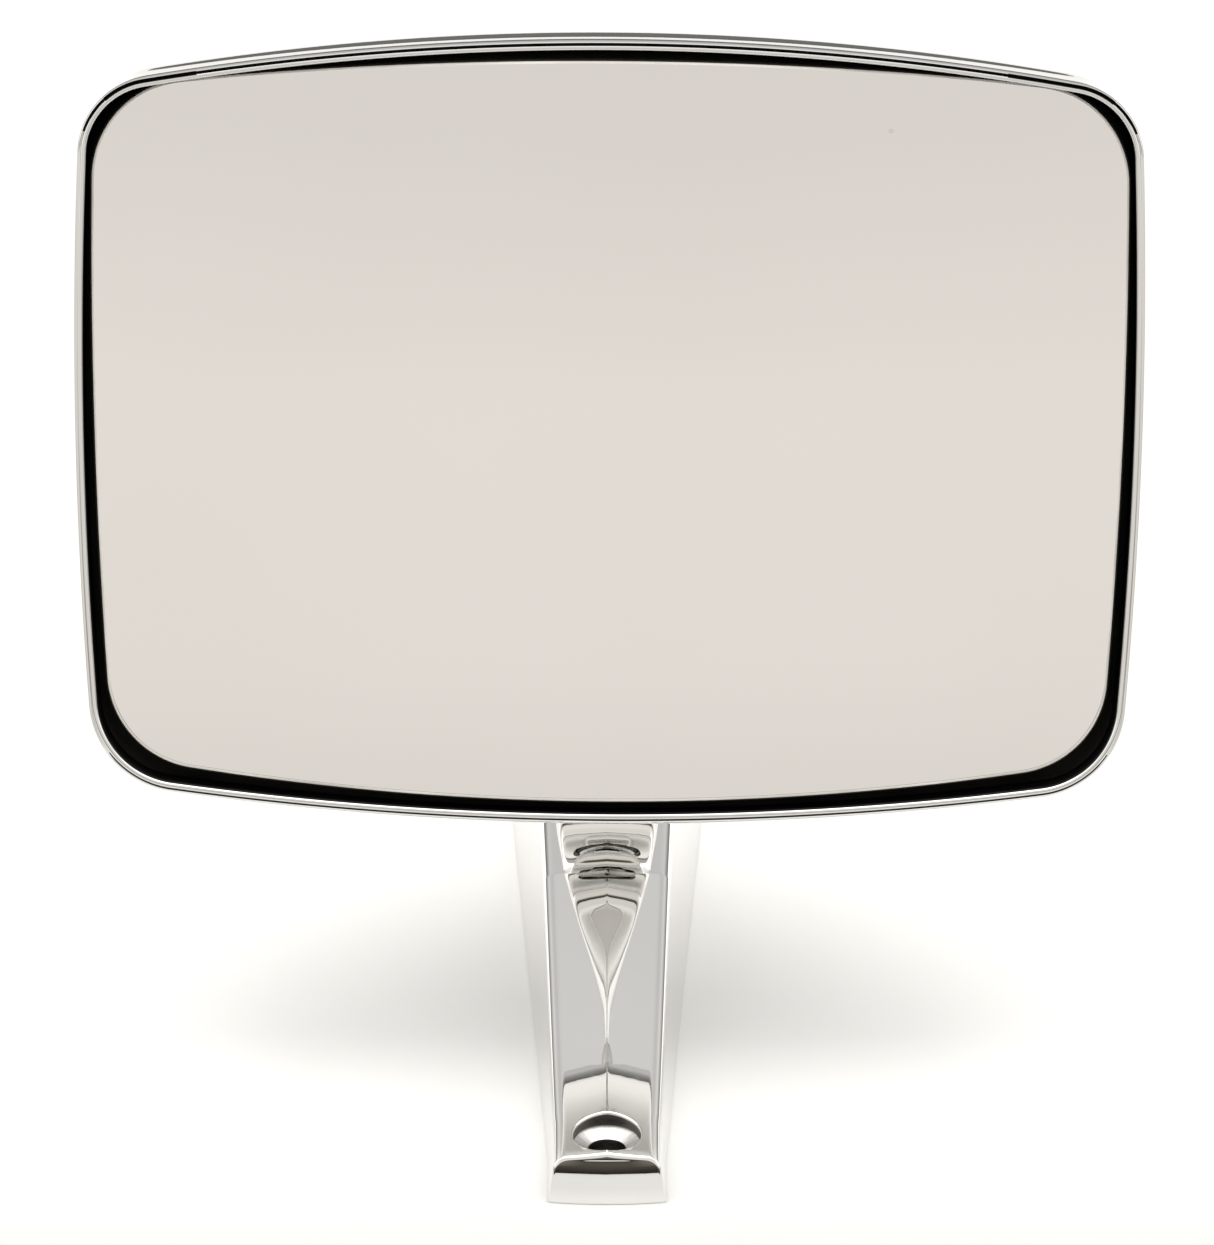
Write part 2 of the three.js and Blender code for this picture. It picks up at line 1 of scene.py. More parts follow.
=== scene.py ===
"""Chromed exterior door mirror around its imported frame: cast arm with its foot and neck, ball pivot,
bowl-shaped head with a rolled rim, convex glass. Lengths below are in millimetres and are turned into
metres when a piece is put in place."""
import json
import math

import bmesh
import bpy
import numpy as np
from mathutils import Matrix, Vector

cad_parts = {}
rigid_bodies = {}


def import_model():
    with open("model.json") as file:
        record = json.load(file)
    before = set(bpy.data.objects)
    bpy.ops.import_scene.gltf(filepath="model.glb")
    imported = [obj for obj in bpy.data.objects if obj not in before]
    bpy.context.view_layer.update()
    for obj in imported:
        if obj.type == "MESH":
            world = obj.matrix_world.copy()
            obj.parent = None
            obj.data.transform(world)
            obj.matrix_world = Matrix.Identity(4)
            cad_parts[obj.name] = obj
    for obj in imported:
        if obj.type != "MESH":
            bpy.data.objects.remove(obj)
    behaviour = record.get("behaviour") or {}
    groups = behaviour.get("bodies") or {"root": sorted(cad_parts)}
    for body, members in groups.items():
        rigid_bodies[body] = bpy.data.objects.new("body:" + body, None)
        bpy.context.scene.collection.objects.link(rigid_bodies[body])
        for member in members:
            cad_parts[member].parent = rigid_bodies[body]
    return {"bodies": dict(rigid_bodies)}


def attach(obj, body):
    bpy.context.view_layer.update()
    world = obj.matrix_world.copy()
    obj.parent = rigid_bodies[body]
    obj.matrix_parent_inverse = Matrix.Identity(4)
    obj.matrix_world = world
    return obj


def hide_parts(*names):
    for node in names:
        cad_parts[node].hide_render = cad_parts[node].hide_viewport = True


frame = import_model()
scene = bpy.context.scene
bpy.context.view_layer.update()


# ---- camera ------------------------------------------------------------------------------------
ELEVATION = math.radians(25.5)
DISTANCE = 1.100
AIM = Vector((0.0, 0.03604, 0.05556))
cam_data = bpy.data.cameras.new("camera")
cam = bpy.data.objects.new("camera", cam_data)
scene.collection.objects.link(cam)
scene.camera = cam
cam.location = AIM + Vector((0, -math.cos(ELEVATION), math.sin(ELEVATION))) * DISTANCE
cam.rotation_euler = (math.pi / 2 - ELEVATION, 0, 0)
cam_data.sensor_width = 36
cam_data.lens = 8764.8 * 36 / 1245
cam_data.clip_start, cam_data.clip_end = 0.05, 60
cam_data.dof.use_dof = False
scene.view_settings.view_transform = "Standard"


# ---- mesh tools --------------------------------------------------------------------------------
def T(x, y, z):
    m = np.eye(4)
    m[:3, 3] = (x, y, z)
    return m


def RX(a):
    c, s = math.cos(a), math.sin(a)
    return np.array([[1, 0, 0, 0], [0, c, -s, 0], [0, s, c, 0], [0, 0, 0, 1.0]])


def RZ(a):
    c, s = math.cos(a), math.sin(a)
    return np.array([[c, -s, 0, 0], [s, c, 0, 0], [0, 0, 1, 0], [0, 0, 0, 1.0]])


def turned(m, p):
    p = np.asarray(p, float)
    return p @ m[:3, :3].T + m[:3, 3]


def smoothstep(a, b, x):
    t = np.clip((np.asarray(x, float) - a) / (b - a), 0, 1)
    return t * t * (3 - 2 * t)


class Skin:
    """Rings of equal length joined band by band into one closed skin, with a material index on each band."""

    def __init__(self, closed=True):
        self.v, self.f, self.m, self.rings, self.closed = [], [], [], [], closed

    def ring(self, pts, mat=0):
        start = len(self.v)
        self.v.extend(map(tuple, np.asarray(pts, float)))
        idx = list(range(start, len(self.v)))
        if self.rings:
            last = self.rings[-1]
            n = len(idx)
            for i in range(n if self.closed else n - 1):
                j = (i + 1) % n
                if len(last) == 1:
                    self.f.append((last[0], idx[j], idx[i]))
                else:
                    self.f.append((last[i], last[j], idx[j], idx[i]))
                self.m.append(mat)
        self.rings.append(idx)
        return idx

    def pole(self, p, mat=0):
        """One point that closes the skin, before the first ring or after the last."""
        start = len(self.v)
        self.v.append(tuple(p))
        if self.rings:
            last = self.rings[-1]
            n = len(last)
            for i in range(n):
                self.f.append((last[i], last[(i + 1) % n], start))
                self.m.append(mat)
        self.rings.append([start])

    def join_ends(self, mat=0):
        a, b = self.rings[-1], self.rings[0]
        n = len(a)
        for i in range(n):
            j = (i + 1) % n
            self.f.append((a[i], a[j], b[j], b[i]))
            self.m.append(mat)

    def cap_pairs(self, ring, mat=0, flip=False):
        """Closes a ring that is the same left and right with strips between mirrored points."""
        n = len(ring)
        half = n // 2
        for i in range(half):
            a, b = ring[i], ring[i + 1]
            c, d = ring[(n - i - 1) % n], ring[(n - i) % n]
            face = [a, b, c, d]
            face = [k for q, k in enumerate(face) if k not in face[:q]]
            if len(face) > 2:
                self.f.append(tuple(face[::-1] if flip else face))
                self.m.append(mat)

    def object(self, name, mats):
        me = bpy.data.meshes.new(name)
        me.from_pydata(self.v, [], self.f)
        me.polygons.foreach_set("material_index", self.m)
        for m in mats:
            me.materials.append(m)
        ob = bpy.data.objects.new(name, me)
        scene.collection.objects.link(ob)
        tidy(ob)
        return ob


def tidy(ob, merge=1e-5):
    """One closed skin that faces out: doubles merged, slivers dissolved, normals outwards."""
    bm = bmesh.new()
    bm.from_mesh(ob.data)
    bmesh.ops.remove_doubles(bm, verts=bm.verts, dist=merge)
    bmesh.ops.dissolve_degenerate(bm, edges=bm.edges, dist=1e-6)
    bmesh.ops.recalc_face_normals(bm, faces=bm.faces)
    bm.to_mesh(ob.data)
    bm.free()
    ob.data.update()


def combine(ob, tool, operation="DIFFERENCE"):
    mod = ob.modifiers.new("combine", "BOOLEAN")
    mod.object, mod.operation, mod.solver = tool, operation, "EXACT"
    mod.material_mode = "TRANSFER"
    bpy.context.view_layer.update()
    dg = bpy.context.evaluated_depsgraph_get()
    me = bpy.data.meshes.new_from_object(ob.evaluated_get(dg))
    ob.modifiers.clear()
    old, ob.data = ob.data, me
    bpy.data.meshes.remove(old)
    tool_mesh = tool.data
    bpy.data.objects.remove(tool)
    bpy.data.meshes.remove(tool_mesh)
    me.name = ob.name
    return ob


def place(ob, m, body, stands_for=(), sharp=32, weighted=False):
    """Millimetres in a local frame to metres in the row frame, then shading, body, and the CAD parts it stands for
    hidden.
    """
    mat = Matrix([list(r) for r in m])
    for r in range(3):
        for c in range(4):
            mat[r][c] *= 0.001
    ob.data.transform(mat)
    ob.data.shade_smooth()
    ob.data.set_sharp_from_angle(angle=math.radians(sharp))
    if weighted:
        w = ob.modifiers.new("flats", "WEIGHTED_NORMAL")
        w.keep_sharp = True
        w.weight = 60
    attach(ob, body)
    if stands_for:
        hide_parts(*stands_for)
    return ob


def lathe(name, profile, mats, index=None, seg=96, closed=True):
    """Solid of revolution about +Z from (radius, height) points. A radius of 0 is a pole."""
    skin = Skin()
    a = np.linspace(0, 2 * np.pi, seg, endpoint=False)
    ca, sa = np.cos(a), np.sin(a)
    for k, (r, h) in enumerate(profile):
        mat = 0 if index is None else index[k]
        if r <= 1e-6:
            skin.pole((0, 0, h), mat)
        else:
            skin.ring(np.column_stack([r * ca, r * sa, np.full(seg, h)]), mat)
    if profile[0][0] > 1e-6:
        skin.join_ends(0 if index is None else index[0])
    return skin.object(name, mats)


def eased(profile, r=0.15, steps=3, sharp=25):
    """The closed (radius, height) profile with each corner sharper than the limit rounded to radius r."""
    pts = [np.array(p, float) for p in profile]
    out, n = [], len(pts)
    for i, p in enumerate(pts):
        a, b = pts[i - 1] - p, pts[(i + 1) % n] - p
        la, lb = np.linalg.norm(a), np.linalg.norm(b)
        if la < 1e-6 or lb < 1e-6:
            continue
        a, b = a / la, b / lb
        turn = math.degrees(math.pi - math.acos(np.clip(a @ b, -1, 1)))
        if turn < sharp or p[0] < 1e-6:
            out.append(tuple(p))
            continue
        half = math.acos(np.clip(a @ b, -1, 1)) / 2
        t = min(r / math.tan(half), la * 0.45, lb * 0.45)
        rr = t * math.tan(half)
        centre = p + (a + b) / np.linalg.norm(a + b) * (rr / math.sin(half))
        s, e = p + a * t - centre, p + b * t - centre
        for k in range(steps + 1):
            v = s * (1 - k / steps) + e * (k / steps)
            out.append(tuple(centre + v / np.linalg.norm(v) * rr))
    return out


# ---- materials ---------------------------------------------------------------------------------
class Nodes:
    def __init__(self, name):
        self.mat = bpy.data.materials.new(name)
        self.mat.use_nodes = True
        self.t = self.mat.node_tree
        self.t.nodes.clear()
        self.out = self.t.nodes.new("ShaderNodeOutputMaterial")
        self.p = self.t.nodes.new("ShaderNodeBsdfPrincipled")
        self.t.links.new(self.p.outputs["BSDF"], self.out.inputs["Surface"])
        self.coord = self.t.nodes.new("ShaderNodeTexCoord")

    def new(self, kind, **inputs):
        n = self.t.nodes.new(kind)
        for k, v in inputs.items():
            if hasattr(n, k):
                setattr(n, k, v)
        return n

    def link(self, a, b):
        self.t.links.new(a, b)

    def scaled(self, sx, sy, sz, rot=(0, 0, 0), loc=(0, 0, 0)):
        m = self.t.nodes.new("ShaderNodeMapping")
        m.inputs["Scale"].default_value = (sx, sy, sz)
        m.inputs["Rotation"].default_value = rot
        m.inputs["Location"].default_value = loc
        self.link(self.coord.outputs["Object"], m.inputs["Vector"])
        return m.outputs["Vector"]

    def noise(self, vector, scale, detail=4, rough=0.55, distort=0.0):
        n = self.t.nodes.new("ShaderNodeTexNoise")
        n.inputs["Scale"].default_value = scale
        n.inputs["Detail"].default_value = detail
        n.inputs["Roughness"].default_value = rough
        n.inputs["Distortion"].default_value = distort
        self.link(vector, n.inputs["Vector"])
        return n.outputs["Fac"]

    def voronoi(self, vector, scale, feature="F1", out="Distance"):
        n = self.t.nodes.new("ShaderNodeTexVoronoi")
        n.feature = feature
        n.inputs["Scale"].default_value = scale
        self.link(vector, n.inputs["Vector"])
        return n.outputs[out]

    def ramp(self, fac, stops):
        n = self.t.nodes.new("ShaderNodeValToRGB")
        e = n.color_ramp.elements
        for k, (pos, col) in enumerate(stops):
            col = (col, col, col) if isinstance(col, (int, float)) else col
            el = e[k] if k < 2 else e.new(pos)
            el.position = pos
            el.color = (*col, 1)
        self.link(fac, n.inputs["Fac"])
        return n.outputs["Color"]

    def math(self, op, a, b=None, clamp=False):
        n = self.t.nodes.new("ShaderNodeMath")
        n.operation, n.use_clamp = op, clamp
        for k, v in enumerate((a, b)):
            if v is None:
                continue
            if isinstance(v, (int, float)):
                n.inputs[k].default_value = v
            else:
                self.link(v, n.inputs[k])
        return n.outputs["Value"]

    def bump(self, *layers):
        """Bump nodes in a chain: (height socket, distance in metres, strength)."""
        last = None
        for height, distance, strength in layers:
            n = self.t.nodes.new("ShaderNodeBump")
            n.inputs["Strength"].default_value = strength
            n.inputs["Distance"].default_value = distance
            self.link(height, n.inputs["Height"])
            if last is not None:
                self.link(last, n.inputs["Normal"])
            last = n.outputs["Normal"]
        self.link(last, self.p.inputs["Normal"])

    def set(self, **values):
        for k, v in values.items():
            self.p.inputs[k.replace("_", " ")].default_value = v


def chrome(name, tint=(0.705, 0.700, 0.688), wave=1.0):
    """Bright nickel-chrome plate: a slow orange peel, fine polishing haze, faint water marks in the colour."""
    n = Nodes(name)
    n.set(Metallic=1.0)
    o = n.scaled(1, 1, 1)
    haze = n.noise(o, 60, 5, 0.6)
    fine = n.noise(n.scaled(1, 1, 1, rot=(0.3, 0.7, 0.2)), 900, 3, 0.6)
    tone = n.ramp(haze, [(0.3, tuple(c * 0.975 for c in tint)), (0.7, tint)])
    n.link(tone, n.p.inputs["Base Color"])
    scuff = n.math("MULTIPLY", n.math("SUBTRACT", n.noise(o, 240, 2, 0.5), 0.62, True), 0.35)
    base = n.math("MULTIPLY_ADD", haze, 0.022)
    base.node.inputs[2].default_value = 0.008
    n.link(n.math("ADD", base, scuff), n.p.inputs["Roughness"])
    n.bump((n.noise(o, 45, 1, 0.4), 0.00002 * wave, 0.5), (fine, 0.0000012, 0.5))
    return n.mat


def machined(name, centre, tint=(0.70, 0.695, 0.68)):
    """Plated over tool marks: rings and radial chatter round a vertical axis, centre in metres."""
    n = Nodes(name)
    n.set(Metallic=1.0)
    at = n.t.nodes.new("ShaderNodeVectorMath")
    at.operation = "SUBTRACT"
    n.link(n.coord.outputs["Object"], at.inputs[0])
    at.inputs[1].default_value = centre
    sep = n.t.nodes.new("ShaderNodeSeparateXYZ")
    n.link(at.outputs["Vector"], sep.inputs["Vector"])
    ang = n.math("ARCTAN2", sep.outputs["Y"], sep.outputs["X"])
    rad = n.math("SQRT", n.math("ADD", n.math("POWER", sep.outputs["X"], 2.0), n.math("POWER", sep.outputs["Y"], 2.0)))
    comb = n.t.nodes.new("ShaderNodeCombineXYZ")
    n.link(n.math("SINE", ang), comb.inputs["X"])
    n.link(n.math("COSINE", ang), comb.inputs["Y"])
    n.link(n.math("MULTIPLY", rad, 60.0), comb.inputs["Z"])
    chatter = n.noise(comb.outputs["Vector"], 9, 5, 0.7)
    rings = n.noise(n.t.nodes.new("ShaderNodeCombineXYZ").outputs["Vector"], 1)
    c2 = rings.node.inputs["Vector"].links[0].from_node
    n.link(n.math("MULTIPLY", rad, 5200.0), c2.inputs["X"])
    n.link(n.math("MULTIPLY", sep.outputs["Z"], 5200.0), c2.inputs["Y"])
    n.link(n.ramp(chatter, [(0.32, tuple(c * 0.72 for c in tint)), (0.6, tint)]), n.p.inputs["Base Color"])
    r = n.math("MULTIPLY_ADD", chatter, 0.22)
    r.node.inputs[2].default_value = 0.24
    n.link(r, n.p.inputs["Roughness"])
    n.bump((chatter, 0.00006, 0.7), (rings, 0.00001, 0.6))
    return n.mat


def satin_steel(name, tint, rough, streak=(1, 1, 1), scale=400, spangle=0.0):
    """Turned or rolled steel: streaks along the slow axis, patchy gloss, and zinc spangle where asked."""
    n = Nodes(name)
    n.set(Metallic=1.0)
    s = n.noise(n.scaled(*streak), scale, 5, 0.65)
    patch = n.noise(n.scaled(1, 1, 1), 70, 4, 0.6)
    if spangle:
        cell = n.voronoi(n.scaled(1, 1, 1), 260, out="Color")
        grey = n.t.nodes.new("ShaderNodeSeparateColor")
        n.link(cell, grey.inputs["Color"])
        mixed = n.math("ADD", n.math("MULTIPLY", grey.outputs["Red"], spangle), n.math("MULTIPLY", patch, 1 - spangle))
    else:
        mixed = patch
    n.link(n.ramp(mixed, [(0.25, tuple(c * 0.72 for c in tint)), (0.75, tint)]), n.p.inputs["Base Color"])
    r = n.math("MULTIPLY_ADD", s, 0.22)
    r.node.inputs[2].default_value = rough - 0.11
    n.link(r, n.p.inputs["Roughness"])
    n.bump((s, 0.00001, 0.5), (patch, 0.00002, 0.3))
    return n.mat


def rubber(name, tint=(0.010, 0.009, 0.008)):
    n = Nodes(name)
    o = n.scaled(1, 1, 1)
    grain = n.noise(o, 1600, 4, 0.6)
    bloom = n.noise(o, 130, 5, 0.65)
    n.link(n.ramp(bloom, [(0.35, tint), (0.8, tuple(c * 2.2 + 0.004 for c in tint))]), n.p.inputs["Base Color"])
    r = n.math("MULTIPLY_ADD", bloom, 0.2)
    r.node.inputs[2].default_value = 0.6
    n.link(r, n.p.inputs["Roughness"])
    n.set(Specular_IOR_Level=0.25)
    n.bump((grain, 0.00003, 0.6))
    return n.mat


def foam(name):
    n = Nodes(name)
    o = n.scaled(1, 1, 1)
    cells = n.voronoi(o, 1500)
    n.link(n.ramp(cells, [(0.05, (0.012, 0.012, 0.013)), (0.6, (0.060, 0.060, 0.063))]), n.p.inputs["Base Color"])
    r = n.math("MULTIPLY_ADD", n.noise(o, 300, 3), 0.1)
    r.node.inputs[2].default_value = 0.88
    n.link(r, n.p.inputs["Roughness"])
    n.set(Sheen_Weight=0.25, Sheen_Roughness=0.6)
    n.bump((cells, 0.0002, 0.8), (n.noise(o, 120, 3), 0.0004, 0.3))
    return n.mat


def nylon(name):
    n = Nodes(name)
    o = n.scaled(1, 1, 1)
    cloud = n.noise(o, 180, 4, 0.6)
    n.link(n.ramp(cloud, [(0.3, (0.70, 0.67, 0.58)), (0.7, (0.80, 0.78, 0.70))]), n.p.inputs["Base Color"])
    r = n.math("MULTIPLY_ADD", n.noise(o, 700, 3), 0.2)
    r.node.inputs[2].default_value = 0.38
    n.link(r, n.p.inputs["Roughness"])
    n.set(Subsurface_Weight=0.15, Subsurface_Scale=0.001)
    n.bump((n.noise(o, 900, 3), 0.00003, 0.5))
    return n.mat


def mirror_face(name):
    """Silvered convex glass: clear, with a few dust specks and a breath of haze."""
    n = Nodes(name)
    n.set(Metallic=1.0)
    o = n.scaled(1, 1, 1)
    haze = n.noise(o, 14, 4, 0.5)
    tone = n.ramp(haze, [(0.3, (0.790, 0.778, 0.762)), (0.7, (0.806, 0.796, 0.780))])
    cell = n.voronoi(n.scaled(1, 1, 1, loc=(0.013, 0.0, 0.021)), 95)
    pick = n.noise(o, 33, 1, 0.5)
    speck = n.math("MULTIPLY", n.math("LESS_THAN", cell, 0.034), n.math("GREATER_THAN", pick, 0.62))
    mix = n.t.nodes.new("ShaderNodeMix")
    mix.data_type = "RGBA"
    n.link(n.math("MULTIPLY", speck, 0.35), mix.inputs[0])
    n.link(tone, mix.inputs[6])
    mix.inputs[7].default_value = (0.52, 0.49, 0.45, 1)
    n.link(mix.outputs[2], n.p.inputs["Base Color"])
    r = n.math("MULTIPLY_ADD", haze, 0.006)
    r.node.inputs[2].default_value = 0.001
    n.link(n.math("ADD", r, n.math("MULTIPLY", speck, 0.25)), n.p.inputs["Roughness"])
    return n.mat


def ground_edge(name, tint, rough):
    n = Nodes(name)
    o = n.scaled(1, 1, 1)
    grit = n.noise(o, 2200, 4, 0.7)
    wash = n.noise(o, 90, 3, 0.6)
    n.link(n.ramp(wash, [(0.3, tuple(c * 0.8 for c in tint)), (0.75, tuple(min(1, c * 1.15) for c in tint))]), n.p.inputs["Base Color"])
    r = n.math("MULTIPLY_ADD", grit, 0.25)
    r.node.inputs[2].default_value = rough - 0.12
    n.link(r, n.p.inputs["Roughness"])
    n.bump((grit, 0.00002, 0.7))
    return n.mat


def backing_paint(name):
    n = Nodes(name)
    o = n.scaled(1, 1, 1)
    run = n.noise(n.scaled(1, 6, 1), 60, 4, 0.6)
    n.link(n.ramp(run, [(0.3, (0.055, 0.058, 0.062)), (0.7, (0.085, 0.088, 0.092))]), n.p.inputs["Base Color"])
    r = n.math("MULTIPLY_ADD", n.noise(o, 500, 3), 0.2)
    r.node.inputs[2].default_value = 0.42
    n.link(r, n.p.inputs["Roughness"])
    n.bump((n.noise(o, 260, 4), 0.00005, 0.5))
    return n.mat


# ---- driving dimensions ------------------------------------------------------------------------
MOUNT_FROM_FOOT = 14
ARM_LENGTH = 122
RIDGE_HEIGHT = 6.35
RIDGE_SLOPE = (11.755 - 6.35) / 68
ROOF_DROP = 0.115
FOOT_HALF_WIDTH = 7.33
BASE_FLARE = 0.056
SHOULDER_HALF_WIDTH = 6.45
SHOULDER_FLARE = 0.0233
SHOULDER_RADIUS = 1.9
TOP_END, NOSE_START, NOSE_HEIGHT = 68, 98, 6.5
POCKET_FROM, POCKET_TO, POCKET_WALL, POCKET_ROOF = 21, 105, 2.9, 3.2
HOLE_FROM_FOOT, HOLE_RADIUS, CONE_RADIUS, CONE_DEPTH, BORE_RADIUS, BORE_DEPTH = 6.5, 2.3, 3.9, 0.8, 4.17, 1.7
PIVOT_Y, PIVOT_Z = 63.606, 41.078
STUD_LEAN = math.radians(38)
STUD_RADIUS, BALL_RADIUS, SOCKET_RADIUS, SOCKET_WALL = 3.0, 7.4, 9.0, 1.7
SOCKET_HOLE = math.radians(34)
BALL_BASE, NECK_RADIUS, NECK_FILLET, NECK_BACK_FILLET, BOLT_SEAT = -4.0, 5.8, 6.0, 14.0, -41.0
GAP = 0.3
HEAD_TILT, HEAD_ROLL = math.radians(19), math.radians(-0.38)
LIP_Y, LIP_Z = 29.0, 39.2
KEYS = ("top", "topR", "bottom", "bottomR", "side", "sideY", "sideR", "cornerT", "cornerB")
RIM = dict(zip(KEYS, (45.3, 342, -49.45, 410, 65.05, 10.2, 590, 8.6, 10.7)))
GIRTH = dict(zip(KEYS, (47.4, 342, -51.55, 402, 67.15, 11.1, 565, 12.0, 12.5)))
GLASS = dict(zip(KEYS, (44.2, 533, -48.25, 353, 64.3, 23.5, 810, 12.6, 12.4)))
GIRTH_DEPTH, SHELL_DEPTH, SHELL_WALL, BOWL_POWER = 6.5, 42.0, 1.7, 2.3
GLASS_RADIUS, GLASS_THICKNESS, GLASS_RECESS = 1200.0, 2.2, 0.15
GASKET_BACK, GASKET_WIDTH = 7.1, 6.0
PLATE_FRONT, PLATE_BACK = 7.4, 8.4
POST_X, POST_Y, POST_RADIUS = 50.0, 6.0, 3.6

ARM = T(0, -MOUNT_FROM_FOOT, 0)
PIV = ARM @ T(0, PIVOT_Y, PIVOT_Z) @ RX(STUD_LEAN)
st, ct = math.sin(HEAD_TILT), math.cos(HEAD_TILT)
head_y, head_z = LIP_Y - RIM["bottom"] * st, LIP_Z - RIM["bottom"] * ct
dy, dz = PIVOT_Y - head_y, PIVOT_Z - head_z
BALL_IN_HEAD = np.array([0, dy * st + dz * ct, -dy * ct + dz * st])
HEAD = ARM @ T(0, PIVOT_Y, PIVOT_Z) @ RX(math.pi / 2 - HEAD_TILT) @ RZ(HEAD_ROLL) @ T(*(-BALL_IN_HEAD))
STUD_TURN = RX(-(math.pi / 2 - HEAD_TILT - STUD_LEAN))  # the stud's axis from the head frame's +Z

# the arm's chrome is set brighter than the head's: painted light that lifts the arm's reflections
M_ARM = chrome("arm_chrome_plate", (0.81, 0.805, 0.79))
M_HEAD = chrome("head_chrome_plate")
# near-black steel painted into the rim's crease: painted shade
M_CREASE = satin_steel("rim_crease_painted_shade", (0.035, 0.033, 0.030), 0.45, (1, 1, 1), 500)
# black inside of the shell; where it reaches up the lip's inner wall it is painted shade
M_INSIDE = rubber("shell_inside_black", (0.006, 0.006, 0.006))
M_HOLE = machined("hole_machined_chrome", (0, (HOLE_FROM_FOOT - MOUNT_FROM_FOOT) / 1000, 0))
# dark steel on the bore walls of the screw hole: painted shade in the hole
M_BORE = satin_steel("hole_bore_painted_shade", (0.20, 0.19, 0.175), 0.30, (1, 1, 9), 600)
M_MIRROR = mirror_face("mirror_silvering")
M_EDGE = ground_edge("glass_ground_edge", (0.050, 0.045, 0.036), 0.5)
M_CHAMFER = ground_edge("glass_chamfer", (0.84, 0.82, 0.76), 0.35)
M_BACK = backing_paint("glass_backing_paint")
M_RUBBER = rubber("gasket_rubber")
M_FOAM = foam("foam_cells")
M_NYLON = nylon("liner_nylon")
M_BALL = satin_steel("ball_turned_steel", (0.62, 0.61, 0.59), 0.26, (1, 1, 8), 500)
M_ZINC = satin_steel("zinc_plated_steel", (0.66, 0.66, 0.62), 0.32, (1, 1, 1), 700)
M_SPRING = satin_steel("spring_wire_steel", (0.34, 0.35, 0.37), 0.34, (1, 1, 6), 900)
M_PLATE = satin_steel("galvanised_plate", (0.62, 0.63, 0.64), 0.42, (1, 1, 1), 500, spangle=0.6)
M_CAST = satin_steel("casting_inside", (0.36, 0.36, 0.355), 0.5, (1, 1, 1), 300)


# ---- outlines ----------------------------------------------------------------------------------
def outline(o, n=(26, 24, 18)):
    """Eight tangent arcs, anticlockwise from the middle of the bottom, (count, 2)."""
    flat, corner_n, side_n = n
    ct_, cb_ = np.array([0, o["top"] - o["topR"]]), np.array([0, o["bottom"] + o["bottomR"]])
    cs_ = np.array([o["side"] - o["sideR"], o["sideY"]])

    def corner(c1, r1, c2, r2, r, sign):
        d = c2 - c1
        dist = np.hypot(*d)
        a, b = r1 - r, r2 - r
        x = (a * a - b * b + dist * dist) / (2 * dist)
        h = math.sqrt(max(a * a - x * x, 0))
        u = d / dist
        q = [c1 + u * x + np.array([-u[1], u[0]]) * h, c1 + u * x - np.array([-u[1], u[0]]) * h]
        return q[0] if q[0][0] + q[0][1] * sign > q[1][0] + q[1][1] * sign else q[1]

    kt = corner(ct_, o["topR"], cs_, o["sideR"], o["cornerT"], 1)
    kb = corner(cb_, o["bottomR"], cs_, o["sideR"], o["cornerB"], -1)
    ang = lambda c, p: math.atan2(p[1] - c[1], p[0] - c[0])
    half = []

    def arc(c, r, a0, a1, k):
        t = a0 + (a1 - a0) * np.arange(k) / k
        half.extend(zip(c[0] + r * np.cos(t), c[1] + r * np.sin(t)))

    arc(cb_, o["bottomR"], -math.pi / 2, ang(cb_, kb), flat)
    arc(kb, o["cornerB"], ang(cb_, kb), ang(cs_, kb), corner_n)
    arc(cs_, o["sideR"], ang(cs_, kb), ang(cs_, kt), side_n)
    arc(kt, o["cornerT"], ang(cs_, kt), ang(ct_, kt), corner_n)
    arc(ct_, o["topR"], ang(ct_, kt), math.pi / 2, flat)
    half.append((0.0, o["top"]))
    left = [(-x, y) for x, y in half[1:-1][::-1]]
    return np.array(half + left)


def grow(o, d):
    g = dict(o)
    for k in ("top", "topR", "bottomR", "side", "sideR", "cornerT", "cornerB"):
        g[k] += d
    g["bottom"] -= d
    return g


def mixed(a, b, t):
    return {k: a[k] * (1 - t) + b[k] * t for k in KEYS}


def at(pts, z):
    return np.column_stack([pts, np.broadcast_to(z, (len(pts),))])


def bowl_ring(depth, inset, s=None, q=None):
    full = SHELL_DEPTH - inset
    if q is None:
        q = min(1, max(0, (depth - GIRTH_DEPTH) / (full - GIRTH_DEPTH)))
        s = max(1 - q**BOWL_POWER, 1e-9) ** (1 / BOWL_POWER)
    depth = GIRTH_DEPTH + q * (full - GIRTH_DEPTH)
    m = 0.55 * q
    p = outline(grow(GIRTH, -inset))
    a = np.arctan2(p[:, 1] / 51, p[:, 0] / 67)
    e = np.column_stack([(66.8 - inset) * np.cos(a), (51 - inset) * np.sin(a) - 2])
    return at(s * (p * (1 - m) + e * m), -depth)


